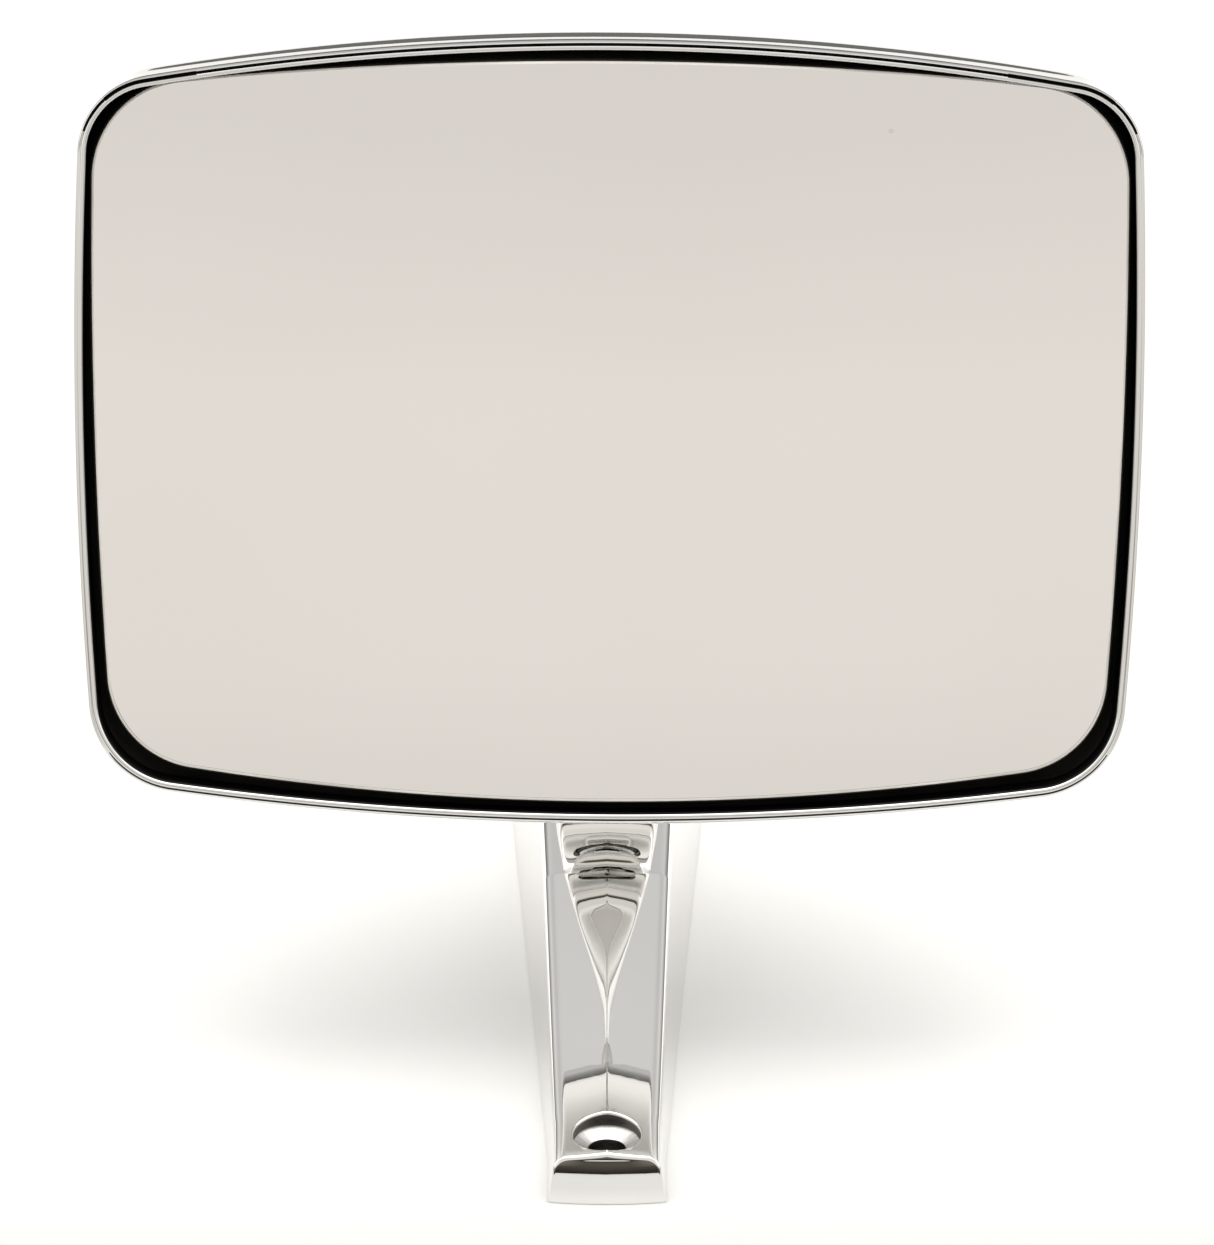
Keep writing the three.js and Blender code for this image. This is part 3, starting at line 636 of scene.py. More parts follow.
# ---- head shell --------------------------------------------------------------------------------
def head_shell():
    base = outline(RIM)
    # the rolled rim's crease is deep along the top, deepest at the top corners, and shallow below
    up = smoothstep(30, 41, base[:, 1])
    corner = smoothstep(44, 58, np.abs(base[:, 0])) * up
    under = smoothstep(-38, -46, base[:, 1])
    crease = 0.10 + 0.75 * up + 0.35 * corner + 0.25 * under
    skin = Skin()
    inner = SHELL_DEPTH - SHELL_WALL
    # inside, from the pole out to the rim
    skin.pole((0, -2.0 * 0.55, -inner), 1)
    for k in range(15, 0, -1):
        f = k / 16 * math.pi / 2
        q, s = math.sin(f) ** (2 / BOWL_POWER), math.cos(f) ** (2 / BOWL_POWER)
        skin.ring(bowl_ring(0, SHELL_WALL, s, q), 1)
    skin.ring(at(outline(grow(GIRTH, -SHELL_WALL)), -GIRTH_DEPTH), 1)
    # the lip's inner wall, up to 0.42 mm behind the front, takes the black inside material: painted shade that keeps
    # the gap round the glass black
    skin.ring(at(outline(mixed(grow(RIM, 0.45), grow(GIRTH, -SHELL_WALL), 0.3)), -3.6), 1)
    skin.ring(at(outline(grow(RIM, 0.38)), -2.5), 1)
    skin.ring(at(outline(grow(RIM, 0.12)), -2.1), 1)
    skin.ring(at(outline(grow(RIM, 0.0)), -1.7), 1)
    skin.ring(at(outline(RIM), -0.42), 1)
    rim = [  # outward offset, depth, share of the crease's depth
        (0.012, 0.26, 0), (0.045, 0.14, 0), (0.10, 0.06, 0), (0.17, 0.015, 0), (0.25, 0.0, 0), (0.36, 0.0, 0),
        (0.46, 0.010, 0), (0.53, 0.025, 0.02), (0.59, 0.045, 0.12), (0.65, 0.06, 0.32), (0.71, 0.07, 0.46),
        (0.76, 0.07, 0.48), (0.81, 0.07, 0.36), (0.86, 0.07, 0.16), (0.92, 0.09, 0.04), (0.985, 0.14, 0),
        (1.05, 0.23, 0), (1.12, 0.37, 0), (1.185, 0.58, 0), (1.245, 0.86, 0), (1.31, 1.25, 0), (1.385, 1.8, 0),
        (1.475, 2.5, 0), (1.60, 3.4, 0), (1.74, 4.3, 0), (1.87, 5.1, 0), (1.975, 5.8, 0),
    ]
    before = 0
    for o, t, c in rim:
        g = mixed(grow(RIM, o), grow(GIRTH, o - 2.1), min(1, t / GIRTH_DEPTH))
        skin.ring(at(outline(g), -(t + c * crease)), 0)
        mid, before = (o + before) / 2, o
        # the crease is painted dark as painted shade: widest at the top corners, a hairline below
        dark = ((mid > 0.59) & (mid < 0.86) & (up > 0.4)) | ((mid > 0.46) & (mid < 1.0) & (corner > 0.35) & (np.abs(base[:, 0]) < 61.5))
        dark |= (mid > 0.65) & (mid < 0.81) & (under > 0.4)
        count = len(dark)
        for i in np.nonzero(dark)[0]:
            skin.m[len(skin.m) - count + i] = 2
    skin.ring(at(outline(grow(GIRTH, -0.045)), -GIRTH_DEPTH), 0)
    skin.ring(at(outline(grow(GIRTH, -0.012)), -7.1), 0)
    for k in range(2, 30):
        f = k / 30 * math.pi / 2
        q, s = math.sin(f) ** (2 / BOWL_POWER), math.cos(f) ** (2 / BOWL_POWER)
        if GIRTH_DEPTH + q * (SHELL_DEPTH - GIRTH_DEPTH) < 7.6:
            continue
        skin.ring(bowl_ring(0, 0, s, q), 0)
    skin.pole((0, -2.0 * 0.55, -SHELL_DEPTH), 0)
    shell = skin.object("head_shell_chrome", [M_HEAD, M_INSIDE, M_CREASE])

    # boss round the ball's socket, and two posts, kept inside the wall
    limit = Skin()
    limit.pole((0, 0, -8.9))
    limit.ring(bowl_ring(8.9, 0.6) * np.array([0.5, 0.5, 1]))
    limit.ring(bowl_ring(8.9, 0.6))
    for k in range(6, 24):
        f = k / 24 * math.pi / 2
        q, s = math.sin(f) ** (2 / BOWL_POWER), math.cos(f) ** (2 / BOWL_POWER)
        limit.ring(bowl_ring(0, 0.6, s, q))
    limit.pole((0, -1.1, -(SHELL_DEPTH - 0.6)))
    keep = limit.object("keep", [M_INSIDE])
    boss = sphere("boss", SOCKET_RADIUS + SOCKET_WALL, M_INSIDE)
    for sx in (-1, 1):
        post = lathe("post", [(0, 0), (POST_RADIUS - 0.4, 0), (POST_RADIUS, -0.5), (POST_RADIUS + 0.8, -34), (0, -34)], [M_INSIDE], seg=48)
        post.data.transform(Matrix.Translation((sx * POST_X, POST_Y, -PLATE_BACK - GAP)))
        boss = combine(boss, post, "UNION")
    boss = combine(boss, keep, "INTERSECT")
    shell = combine(shell, boss, "UNION")
    shell = combine(shell, sphere("socket", SOCKET_RADIUS, M_HEAD), "DIFFERENCE")
    r = 16 * math.tan(SOCKET_HOLE)
    cone = lathe("cone", [(0, 0), (r, 16), (0, 16)], [M_HEAD], seg=96)
    cone.data.transform(Matrix([list(q) for q in T(*BALL_IN_HEAD) @ STUD_TURN]))
    shell = combine(shell, cone, "DIFFERENCE")
    for sx in (-1, 1):
        drill = lathe("drill", [(0, 1), (1.9, 1), (1.9, -14.5), (0, -15.6)], [M_INSIDE], seg=32)
        drill.data.transform(Matrix.Translation((sx * POST_X, POST_Y, -PLATE_BACK)))
        shell = combine(shell, drill, "DIFFERENCE")
    tidy(shell)
    return place(shell, HEAD, "head", ("head_shell",), sharp=34)


def sphere(name, radius, mat, seg=128, rows=72):
    """Globe about the pivot centre with its poles on the stud's axis, in the head's frame."""
    prof = [(0, radius)] + [(radius * math.sin(a), radius * math.cos(a)) for a in np.linspace(0, math.pi, rows + 1)[1:-1]] + [(0, -radius)]
    ob = lathe(name, prof, [mat], seg=seg)
    ob.data.transform(Matrix([list(q) for q in T(*BALL_IN_HEAD) @ STUD_TURN]))
    return ob


# ---- glass, gasket, foam, plate ----------------------------------------------------------------
def dome(p):
    return GLASS_RECESS + (p[:, 0] ** 2 + p[:, 1] ** 2) / (2 * GLASS_RADIUS)


def glass():
    skin = Skin()
    skin.pole((0, 0, -GLASS_RECESS), 0)
    n = 16
    for k in range(1, n):
        p = outline(grow(GLASS, -0.62)) * (k / n)
        skin.ring(at(p, -dome(p)), 0)
    for inset, sink, mat in ((0.62, 0.0, 0), (0.54, 0.0, 0), (0.50, 0.012, 2), (0.30, 0.085, 2), (0.27, 0.11, 2), (0.16, 0.26, 1), (0.07, 0.48, 1), (0.015, 0.8, 1), (0.0, 1.15, 1), (0.02, 1.6, 1), (0.10, 1.9, 1), (0.26, 2.1, 1), (0.45, GLASS_THICKNESS, 1)):
        p = outline(grow(GLASS, -inset))
        skin.ring(at(p, -dome(p) - sink), mat)
    for k in (0.86, 0.7, 0.5, 0.3, 0.12):
        p = outline(GLASS) * k
        skin.ring(at(p, -dome(p) - GLASS_THICKNESS), 3)
    skin.pole((0, 0, -GLASS_RECESS - GLASS_THICKNESS), 3)
    ob = skin.object("mirror_glass_convex", [M_MIRROR, M_EDGE, M_CHAMFER, M_BACK])
    return place(ob, HEAD, "head", ("mirror_glass",), sharp=50)


def gasket():
    """A soft ring behind the glass with a thin lip that follows its dome."""
    skin = Skin()
    outer = grow(GIRTH, -SHELL_WALL - GAP - 0.1)
    face = lambda p, d=0.0: -dome(p) - GLASS_THICKNESS - 0.08 - d
    rows = [(mixed(outer, GLASS, 1.0), -GASKET_WIDTH + 0.3, None), ]
    inner = grow(GLASS, -GASKET_WIDTH)
    seq = [
        (inner, "back", 0.25), (inner, "mid", 0), (inner, "front", 0.3), (grow(inner, 0.3), "front", 0.0),
        (grow(inner, 2.0), "front", 0.0), (grow(GLASS, -1.2), "front", 0.0), (grow(GLASS, -0.2), "front", 0.12),
        (grow(GLASS, 0.25), "front", 0.55), (mixed(GLASS, outer, 0.45), "front", 1.3), (mixed(GLASS, outer, 0.85), "front", 1.9),
        (outer, "front", 2.3), (outer, "back", 0.3), (grow(outer, -0.3), "back", 0.0), (grow(GLASS, -2.5), "back", 0.0), (grow(inner, 0.25), "back", 0.0),
    ]
    for o, side, d in seq:
        p = outline(o)
        if side == "front":
            z = np.maximum(face(p, d), -GASKET_BACK + 0.5)
        elif side == "back":
            z = np.full(len(p), -GASKET_BACK + d)
        else:
            z = (face(p, 0) - GASKET_BACK) / 2
        skin.ring(at(p, z), 0)
    skin.join_ends(0)
    ob = skin.object("glass_gasket_rubber", [M_RUBBER])
    return place(ob, HEAD, "head", ("glass_gasket",), sharp=55)


def foam_pad():
    """Cut from a thick sheet: crowned faces, slightly drawn-in sides, two punched holes."""
    edge = grow(GLASS, -GASKET_WIDTH - GAP)
    skin = Skin()
    front = lambda p, d: -dome(p) - GLASS_THICKNESS - 0.12 - d
    skin.pole((0, 0, -GLASS_RECESS - GLASS_THICKNESS - 0.12))
    for k in (0.12, 0.3, 0.5, 0.7, 0.86, 0.96):
        p = outline(edge) * k
        skin.ring(at(p, front(p, 0)))
    for inset, d in ((1.0, 0.02), (0.45, 0.12), (0.12, 0.4), (0.0, 0.9)):
        p = outline(grow(edge, -inset))
        skin.ring(at(p, front(p, d)))
    for inset, z in ((0.25, 5.2), (0.12, 6.2), (0.1, 6.6), (0.35, 6.95), (0.9, 7.1)):
        p = outline(grow(edge, -inset))
        skin.ring(at(p, np.minimum(-z, front(p, 1.2))))
    for k in (0.9, 0.7, 0.5, 0.3, 0.12):
        p = outline(edge) * k
        skin.ring(at(p, -7.1))
    skin.pole((0, 0, -7.1))
    ob = skin.object("foam_pad_soft", [M_FOAM])
    for sx in (-1, 1):
        punch = lathe("punch", [(0, 0), (4.2, 0), (4.35, -4), (4.2, -9), (0, -9)], [M_FOAM], seg=40)
        punch.data.transform(Matrix.Translation((sx * POST_X, POST_Y, 0)))
        ob = combine(ob, punch)
    tidy(ob)
    place(ob, HEAD, "head", ("foam_pad",), sharp=50)
    return ob


def plate():
    """Pressed steel plate: rounded edge, a shallow stiffening ring, two screw holes."""
    edge = grow(GLASS, -0.8)
    skin = Skin()
    t = PLATE_BACK - PLATE_FRONT
    rows = [(0.14, 0), (0.3, 0), (0.5, 0), (0.66, 0), (0.69, 0.08), (0.71, 0.2), (0.73, 0.24), (0.76, 0.24), (0.78, 0.2), (0.80, 0.08), (0.83, 0), (0.95, 0)]
    skin.pole((0, 0, -PLATE_FRONT))
    for k, d in rows:
        skin.ring(at(outline(edge) * k, -PLATE_FRONT - d))
    for inset, d in ((0.35, 0.0), (0.12, 0.08), (0.0, 0.3), (0.0, t - 0.3), (0.12, t - 0.08), (0.35, t)):
        skin.ring(at(outline(grow(edge, -inset)), -PLATE_FRONT - d))
    for k, d in rows[::-1]:
        skin.ring(at(outline(edge) * k, -PLATE_BACK - d * 0.9))
    skin.pole((0, 0, -PLATE_BACK))
    ob = skin.object("backing_plate_pressed", [M_PLATE])
    for sx in (-1, 1):
        drill = lathe("drill", [(0, 4), (1.9, 4), (1.9, -4), (0, -4)], [M_PLATE], seg=40)
        drill.data.transform(Matrix.Translation((sx * POST_X, POST_Y, -PLATE_BACK)))
        ob = combine(ob, drill)
    tidy(ob)
    return place(ob, HEAD, "head", ("backing_plate",), sharp=30)


def thread(r_out, r_in, z0, z1, pitch, seg=56, runout=1.0):
    """Rows of a helical thread from z0 up to z1, as rings of points."""
    a = np.linspace(0, 2 * np.pi, seg, endpoint=False)
    rows = []
    for z in np.arange(z0, z1 + 1e-6, pitch / 8):
        ph = (z / pitch - a / (2 * np.pi)) % 1.0
        tri = 1 - np.abs(2 * ph - 1)
        tri = np.clip((tri - 0.1) / 0.8, 0, 1)
        depth = (r_out - r_in) * (1 - tri)
        depth *= smoothstep(z0, z0 + runout, z)
        depth = np.maximum(depth, 0.55 * smoothstep(z1 - 0.7, z1, z))
        r = r_out - depth
        rows.append(np.column_stack([r * np.cos(a), r * np.sin(a), np.full(seg, z)]))
    return rows


def screws():
    out = []
    for sx, name in ((-1, "left"), (1, "right")):
        skin = Skin()
        seg = 56
        a = np.linspace(0, 2 * np.pi, seg, endpoint=False)
        skin.pole((0, 0, -9.0))
        skin.ring(np.column_stack([0.5 * np.cos(a), 0.5 * np.sin(a), np.full(seg, -8.7)]))
        for row in thread(1.6, 1.15, -8.3, -0.9, 0.9, seg)[:]:
            skin.ring(row)
        for r, h in ((1.6, -0.5), (1.6, -0.04), (1.7, 0), (2.85, 0), (3.0, 0.12), (3.0, 0.55), (2.9, 0.85), (2.6, 1.2), (2.1, 1.5), (1.5, 1.6), (0.8, 1.6)):
            skin.ring(np.column_stack([r * np.cos(a), r * np.sin(a), np.full(seg, h)]))
        skin.pole((0, 0, 1.6))
        ob = skin.object("plate_screw_%s_panhead" % name, [M_ZINC])
        for turn in (0, math.pi / 2):  # cross recess
            s = Skin()
            for z, w, l in ((0.55, 0.12, 0.5), (1.1, 0.24, 1.05), (1.8, 0.34, 1.5)):
                s.ring([(l, w, z), (-l, w, z), (-l, -w, z), (l, -w, z)])
            s.f += [(s.rings[0][0], s.rings[0][1], s.rings[0][2], s.rings[0][3]), tuple(s.rings[-1][::-1])]
            s.m += [0, 0]
            c = s.object("recess", [M_ZINC])
            c.data.transform(Matrix.Rotation(turn + 0.4, 4, "Z"))
            ob = combine(ob, c)
        tidy(ob)
        m = HEAD @ T(sx * POST_X, POST_Y, -PLATE_FRONT + GAP)
        out.append(place(ob, m, "head", ("plate_screw_%s" % name,), sharp=30, weighted=True))
    return out


# ---- ball pivot --------------------------------------------------------------------------------
def arc_points(radius, a0, a1, n):
    return [(radius * math.sin(math.radians(a)), radius * math.cos(math.radians(a))) for a in np.linspace(a0, a1, n + 1)]


SPRING_FOOT = 12.0 + GAP
WASHER_FOOT = SPRING_FOOT + 3.5 + 0.5
NUT_FOOT = WASHER_FOOT + 1.2 + GAP


def hexagon(name, across, height, bore, mat, chamfer=0.55, seg=96):
    """Hexagon with both ends turned to a chamfer: each ring's radius is the smaller of hexagon and cone."""
    a = np.linspace(0, 2 * np.pi, seg, endpoint=False)
    flat = across / 2
    k = (a + math.pi / 6) % (math.pi / 3) - math.pi / 6
    hexr = flat / np.cos(k)
    skin = Skin()
    ring = lambda r, z: np.column_stack([r * np.cos(a), r * np.sin(a), np.full(seg, z) if np.isscalar(z) else z])
    rows = []
    drop = (hexr - flat) * chamfer
    face = flat * 0.97
    if bore:
        skin.ring(ring(np.full(seg, bore + 0.35), 0.0))
    else:
        skin.pole((0, 0, 0.0))
    skin.ring(ring(np.full(seg, face), 0.0))
    skin.ring(ring(hexr, drop + 0.08))
    skin.ring(ring(hexr, height - drop - 0.08))
    skin.ring(ring(np.full(seg, face), height))
    if bore:
        skin.ring(ring(np.full(seg, bore + 0.35), height))
        skin.ring(ring(np.full(seg, bore), height - 0.35))
        skin.ring(ring(np.full(seg, bore), 0.35))
        skin.join_ends()
    else:
        skin.pole((0, 0, height))
    return skin.object(name, [mat])


def pivot():
    r = STUD_RADIUS + GAP
    # ball with its flat foot on the neck
    foot = math.degrees(math.acos((BALL_BASE + GAP) / BALL_RADIUS))
    top = math.degrees(math.asin((STUD_RADIUS + 1.2) / BALL_RADIUS))
    prof = arc_points(BALL_RADIUS, foot, top, 60)
    prof = eased([(r, BALL_BASE + GAP)] + prof + [(r, prof[-1][1])], 0.3, 4, 30)
    place(lathe("pivot_ball_turned", prof, [M_BALL], seg=160), PIV, "arm", ("pivot_ball",), sharp=35)
    # nylon cup
    prof = eased(arc_points(8.7, 62, 31, 40) + arc_points(7.7, 31, 62, 40), 0.25, 4, 40)
    place(lathe("seat_liner_nylon", prof, [M_NYLON], seg=144), PIV, BODY_LINER, ("seat_liner",), sharp=40)
    # domed washer
    a0 = math.degrees(math.asin(r / 11.0))
    prof = arc_points(11.0, a0, 42, 24) + arc_points(12.3, 42, 34, 6) + [(6.5, 11.4), (6.1, 12.0), (r, 12.0)]
    place(lathe("inner_pivot_washer_domed", eased(prof, 0.18, 3, 30), [M_ZINC], seg=112), PIV, BODY_WASHER, ("inner_pivot_washer",), sharp=35)
    # spring, its wire a little thinner at the two ends
    wire, turns, radius, length = 0.55, 2, 4.9, 3.5
    skin = Skin()
    k = np.linspace(0, 1, 220)
    lift = (length - 2 * wire) * k
    ang = 2 * np.pi * turns * k
    c = np.column_stack([radius * np.cos(ang), radius * np.sin(ang), wire + lift])
    tan = np.gradient(c, axis=0)
    tan /= np.linalg.norm(tan, axis=1)[:, None]
    out = np.column_stack([np.cos(ang), np.sin(ang), np.zeros_like(ang)])
    up = np.cross(out, tan)
    b = np.linspace(0, 2 * np.pi, 20, endpoint=False)
    skin.pole(c[0] - tan[0] * 0.02)
    for i in range(len(k)):
        s = 1.0
        if i in (0, len(k) - 1):
            s = 0.8
        skin.ring(c[i] + s * wire * (np.cos(b)[:, None] * out[i] + np.sin(b)[:, None] * up[i]))
    skin.pole(c[-1] + tan[-1] * 0.02)
    ob = skin.object("pivot_spring_wire", [M_SPRING])
    place(ob, PIV @ T(0, 0, SPRING_FOOT + 0.15), "arm", ("pivot_spring",), sharp=45)
    # flat washers
    flat = eased([(r, 0), (6.2, 0), (6.2, 1.2), (r, 1.2)], 0.22, 3)
    place(lathe("spring_washer_flat", flat, [M_ZINC], seg=112), PIV @ T(0, 0, WASHER_FOOT), "arm", ("spring_washer",), sharp=35)
    flat = eased([(r, 0), (6, 0), (6, 1.2), (r, 1.2)], 0.2, 3)
    place(lathe("bolt_washer_flat", flat, [M_ZINC], seg=112), PIV @ T(0, 0, BOLT_SEAT - 1.2 - GAP), "arm", ("bolt_washer",), sharp=35)
    # nut and bolt
    place(hexagon("lock_nut_hex", 10, 3.6, r, M_ZINC), PIV @ T(0, 0, NUT_FOOT), "arm", ("lock_nut",), sharp=30, weighted=True)
    top = NUT_FOOT + 3.6 + 0.7
    z0 = BOLT_SEAT - 1.2 - 2 * GAP
    head = hexagon("pivot_bolt_hex", 10, 4, 0, M_ZINC)
    head.data.transform(Matrix.Translation((0, 0, z0 - 4)))
    skin = Skin()
    seg = 56
    a = np.linspace(0, 2 * np.pi, seg, endpoint=False)
    skin.pole((0, 0, z0 - 1.5))
    for h in (z0 - 1.5, z0 - 0.5, z0 + 4, -20, -10, 0, 5):
        skin.ring(np.column_stack([3 * np.cos(a), 3 * np.sin(a), np.full(seg, h)]))
    for row in thread(3.0, 2.55, 9.0, top, 1.0, seg):
        skin.ring(row)
    skin.pole((0, 0, top + 0.0))
    shank = skin.object("shank", [M_ZINC])
    bolt = combine(head, shank, "UNION")
    tidy(bolt)
    place(bolt, PIV, "arm", ("pivot_bolt",), sharp=30, weighted=True)


# ---- arm ---------------------------------------------------------------------------------------
def ridge_at(y):
    y = np.asarray(y, float)
    top = RIDGE_HEIGHT + RIDGE_SLOPE * TOP_END
    q = np.clip((y - NOSE_START) / (ARM_LENGTH - NOSE_START), 0, 1)
    # the slope stops where the level top begins
    soft = RIDGE_HEIGHT + RIDGE_SLOPE * np.minimum(y, TOP_END)
    return np.where(y <= NOSE_START, soft, top + (NOSE_HEIGHT - top) * q * q)


def plan_at(y):
    q = (y - NOSE_START - 8) / (ARM_LENGTH - NOSE_START - 8)
    return 1.0 if q <= 0 else math.sqrt(max(1 - q * q, 0))


def setback(z):
    """How far the foot's end face leans back at a height: a drafted, slightly convex face."""
    return 0.12 * z + 0.02403 * z**2 - 0.00096 * z**3


def arm_section(Y, n_wall=12, n_arc=12, n_roof=8):
    base = FOOT_HALF_WIDTH + BASE_FLARE * max(0, Y - 10)
    plan = plan_at(Y)
    b = base * plan
    s = min(SHOULDER_HALF_WIDTH + SHOULDER_FLARE * Y, base - 0.7) * plan
    ridge = float(ridge_at(Y))
    sh = ridge - ROOF_DROP * s
    corner = np.array([s, sh])
    down = np.array([b - s, -sh])
    down /= np.linalg.norm(down)
    inn = np.array([-1, ROOF_DROP])
    inn /= np.linalg.norm(inn)
    half_ang = math.acos(down @ inn) / 2
    r = min(SHOULDER_RADIUS, s * 0.5, sh * 0.5)
    t = r / math.tan(half_ang)
    centre = corner + (down + inn) / np.linalg.norm(down + inn) * r / math.sin(half_ang)
    p0, p1 = corner + down * t, corner + inn * t
    pts = [(0.0, 0.0), (b * 0.5, 0.0), (max(b - 0.6, b * 0.6), 0.0)]
    e = min(0.22, b * 0.1)
    for a in (0, 30, 60, 90):
        a = math.radians(a)
        pts.append((b - e + e * math.sin(a), e - e * math.cos(a)))
    start = np.array([b, e])
    for k in range(1, n_wall):
        f = k / n_wall
        f = 0.5 - 0.5 * math.cos(math.pi * f)
        pts.append(tuple(start + (p0 - start) * f))
    v0, v1 = p0 - centre, p1 - centre
    a0, a1 = math.atan2(v0[1], v0[0]), math.atan2(v1[1], v1[0])
    for k in range(n_arc + 1):
        a = a0 + (a1 - a0) * k / n_arc
        pts.append((centre[0] + r * math.cos(a), centre[1] + r * math.sin(a)))
    end = np.array([0.10, ridge - ROOF_DROP * 0.10])
    for f in (0.04, 0.15, 0.35, 0.6, 0.82, 0.95, 1.0):
        pts.append(tuple(p1 + (end - p1) * f))
    pts.append((0.0, ridge - ROOF_DROP * 0.05))
    pts = np.array(pts)
    left = pts[1:-1][::-1] * np.array([-1, 1])
    return np.vstack([pts, left])


def arm():
    skin = Skin()
    fil = 0.36

    def put(Y, inset=0.0):
        sec = arm_section(max(Y, 0))
        x, z = sec[:, 0].copy(), sec[:, 1].copy()
        if inset:
            b, top = np.abs(x).max(), z.max()
            low = 0.25 * inset
            x *= 1 - inset / b
            z = low + z * (1 - (inset + low) / top)
        lean = max(0.0, 1 - Y / 5.0) ** 2
        y = Y + (setback(z) + 0.55 * (x / 7.3) ** 2) * lean
        return skin.ring(np.column_stack([x, y, z]), 0)

    first = None
    # the fillet round the end face: from the face (full inset) to the sides (no inset)
    for k in range(8):
        a = k / 7 * math.pi / 2
        ring = put(fil * (1 - math.cos(a)), fil * (1 - math.sin(a)))
        if first is None:
            first = ring
    for Y in [0.8, 1.2, 1.8, 2.5, 3.3, 4.2, 5, 6, 8, 10, 12, 15, 18, *range(21, 66, 3), 66, 67, 67.6, 68, 68.4, 69, 70, 73, 78, 84, 90, 94, 96, 97, 98, 99, 100, 101, 102, 103, 104, 105]:
        put(Y)
    for q in np.sin(np.linspace(0, math.pi / 2, 26))[1:-1]:
        put(106 + (ARM_LENGTH - 106) * q)
    last = put(ARM_LENGTH - 0.004)
    # the end face is bowed in plan and leans back, so it gets points of its own
    n = len(first)
    rows = [[first[n - 2], first[n - 1], first[0], first[1], first[2]]]
    for i in range(3, n // 2):
        x, _, z = skin.v[first[i]]
        row = [first[n - i]]
        for f in (-0.5, 0.0, 0.5):
            row.append(len(skin.v))
            skin.v.append((x * f, float(setback(z)) + 0.55 * (x * f / 7.3) ** 2, z))
        rows.append(row + [first[i]])
    rows.append([first[n // 2]] * 5)
    for lower, upper in zip(rows, rows[1:]):
        for k in range(4):
            face = [lower[k], lower[k + 1], upper[k + 1], upper[k]]
            skin.f.append(tuple(q for j, q in enumerate(face) if q not in face[:j]))
            skin.m.append(0)
    skin.cap_pairs(last, 0, True)
    body = skin.object("arm_chrome_casting", [M_ARM])

    # neck
    stud = np.array([-math.sin(STUD_LEAN), math.cos(STUD_LEAN)])
    across = np.array([math.cos(STUD_LEAN), math.sin(STUD_LEAN)])
    neck_top = np.array([PIVOT_Y, PIVOT_Z]) + stud * BALL_BASE

    def neck_line(side, radius):
        p = neck_top + side * across * NECK_RADIUS
        slope = RIDGE_SLOPE if side < 0 else 0.0
        z0 = RIDGE_HEIGHT if side < 0 else RIDGE_HEIGHT + RIDGE_SLOPE * TOP_END
        n = math.hypot(1, slope)
        k = side * radius + p @ across
        Y = (k - across[1] * (z0 + radius * n)) / (across[0] + across[1] * slope)
        c = np.array([Y, z0 + slope * Y + radius * n])
        foot = np.array([c[0] + radius * slope / n, c[1] - radius / n])
        top = c - side * across * radius
        a0 = math.atan2(foot[1] - c[1], foot[0] - c[0])
        a1 = math.atan2(top[1] - c[1], top[0] - c[0])
        if side < 0 and a1 < a0:
            a1 += 2 * math.pi
        if side > 0 and a1 > a0:
            a1 -= 2 * math.pi

        def f(u):
            if u <= 0.12:
                return np.array([foot[0], foot[1] - 2.6 * (1 - u / 0.12)])
            if u <= 0.6:
                a = a0 + (a1 - a0) * (u - 0.12) / 0.48
                return c + radius * np.array([math.cos(a), math.sin(a)])
            return top + (p - top) * (u - 0.6) / 0.4

        return f

    front, back = neck_line(-1, NECK_FILLET), neck_line(1, NECK_BACK_FILLET)
    skin = Skin()
    count = 128
    a = np.arange(count) / count * 2 * np.pi
    us = [0.0, 0.06, 0.115, *np.linspace(0.125, 0.6, 34), *np.linspace(0.6, 1, 14)[1:]]

    def neck_ring(u, shrink=0.0, lift=0.0):
        w = NECK_RADIUS + 0.1 + 0.8 * float(smoothstep(0.12, 0.40, u)) - 0.9 * float(smoothstep(0.5, 0.85, u)) - shrink
        sq = 2 + 11 * (1 - float(smoothstep(0.42, 0.97, u)))
        f, r = front(u), back(u)
        mid, hd = (f + r) / 2, (r - f) / 2
        if shrink:
            hd = hd * (1 - shrink / np.linalg.norm(hd))
        x = w * np.sign(np.cos(a)) * np.abs(np.cos(a)) ** (2 / sq)
        t = np.sign(np.sin(a)) * np.abs(np.sin(a)) ** (2 / sq)
        drop = ROOF_DROP * np.abs(x) * max(0.0, 1 - max(0, u - 0.12) / 0.48) if u < 0.6 else np.zeros(count)
        ring = np.column_stack([x, mid[0] + hd[0] * t, mid[1] + hd[1] * t - drop])
        ring[:, 1] += stud[0] * lift
        ring[:, 2] += stud[1] * lift
        return ring

    r0 = neck_ring(0.0)
    skin.pole(r0.mean(0))
    for u in us:
        skin.ring(neck_ring(u))
    for k in range(1, 5):
        t = k / 4 * math.pi / 2
        skin.ring(neck_ring(1.0, 0.35 * (1 - math.cos(t)), 0.0))
    top_ring = neck_ring(1.0, 0.35, 0.0)
    skin.ring(top_ring * 0.5 + top_ring.mean(0) * 0.5)
    skin.pole(top_ring.mean(0))
    neck = skin.object("neck", [M_ARM])
    body = combine(body, neck, "UNION")

    # hollow underneath
    skin = Skin()

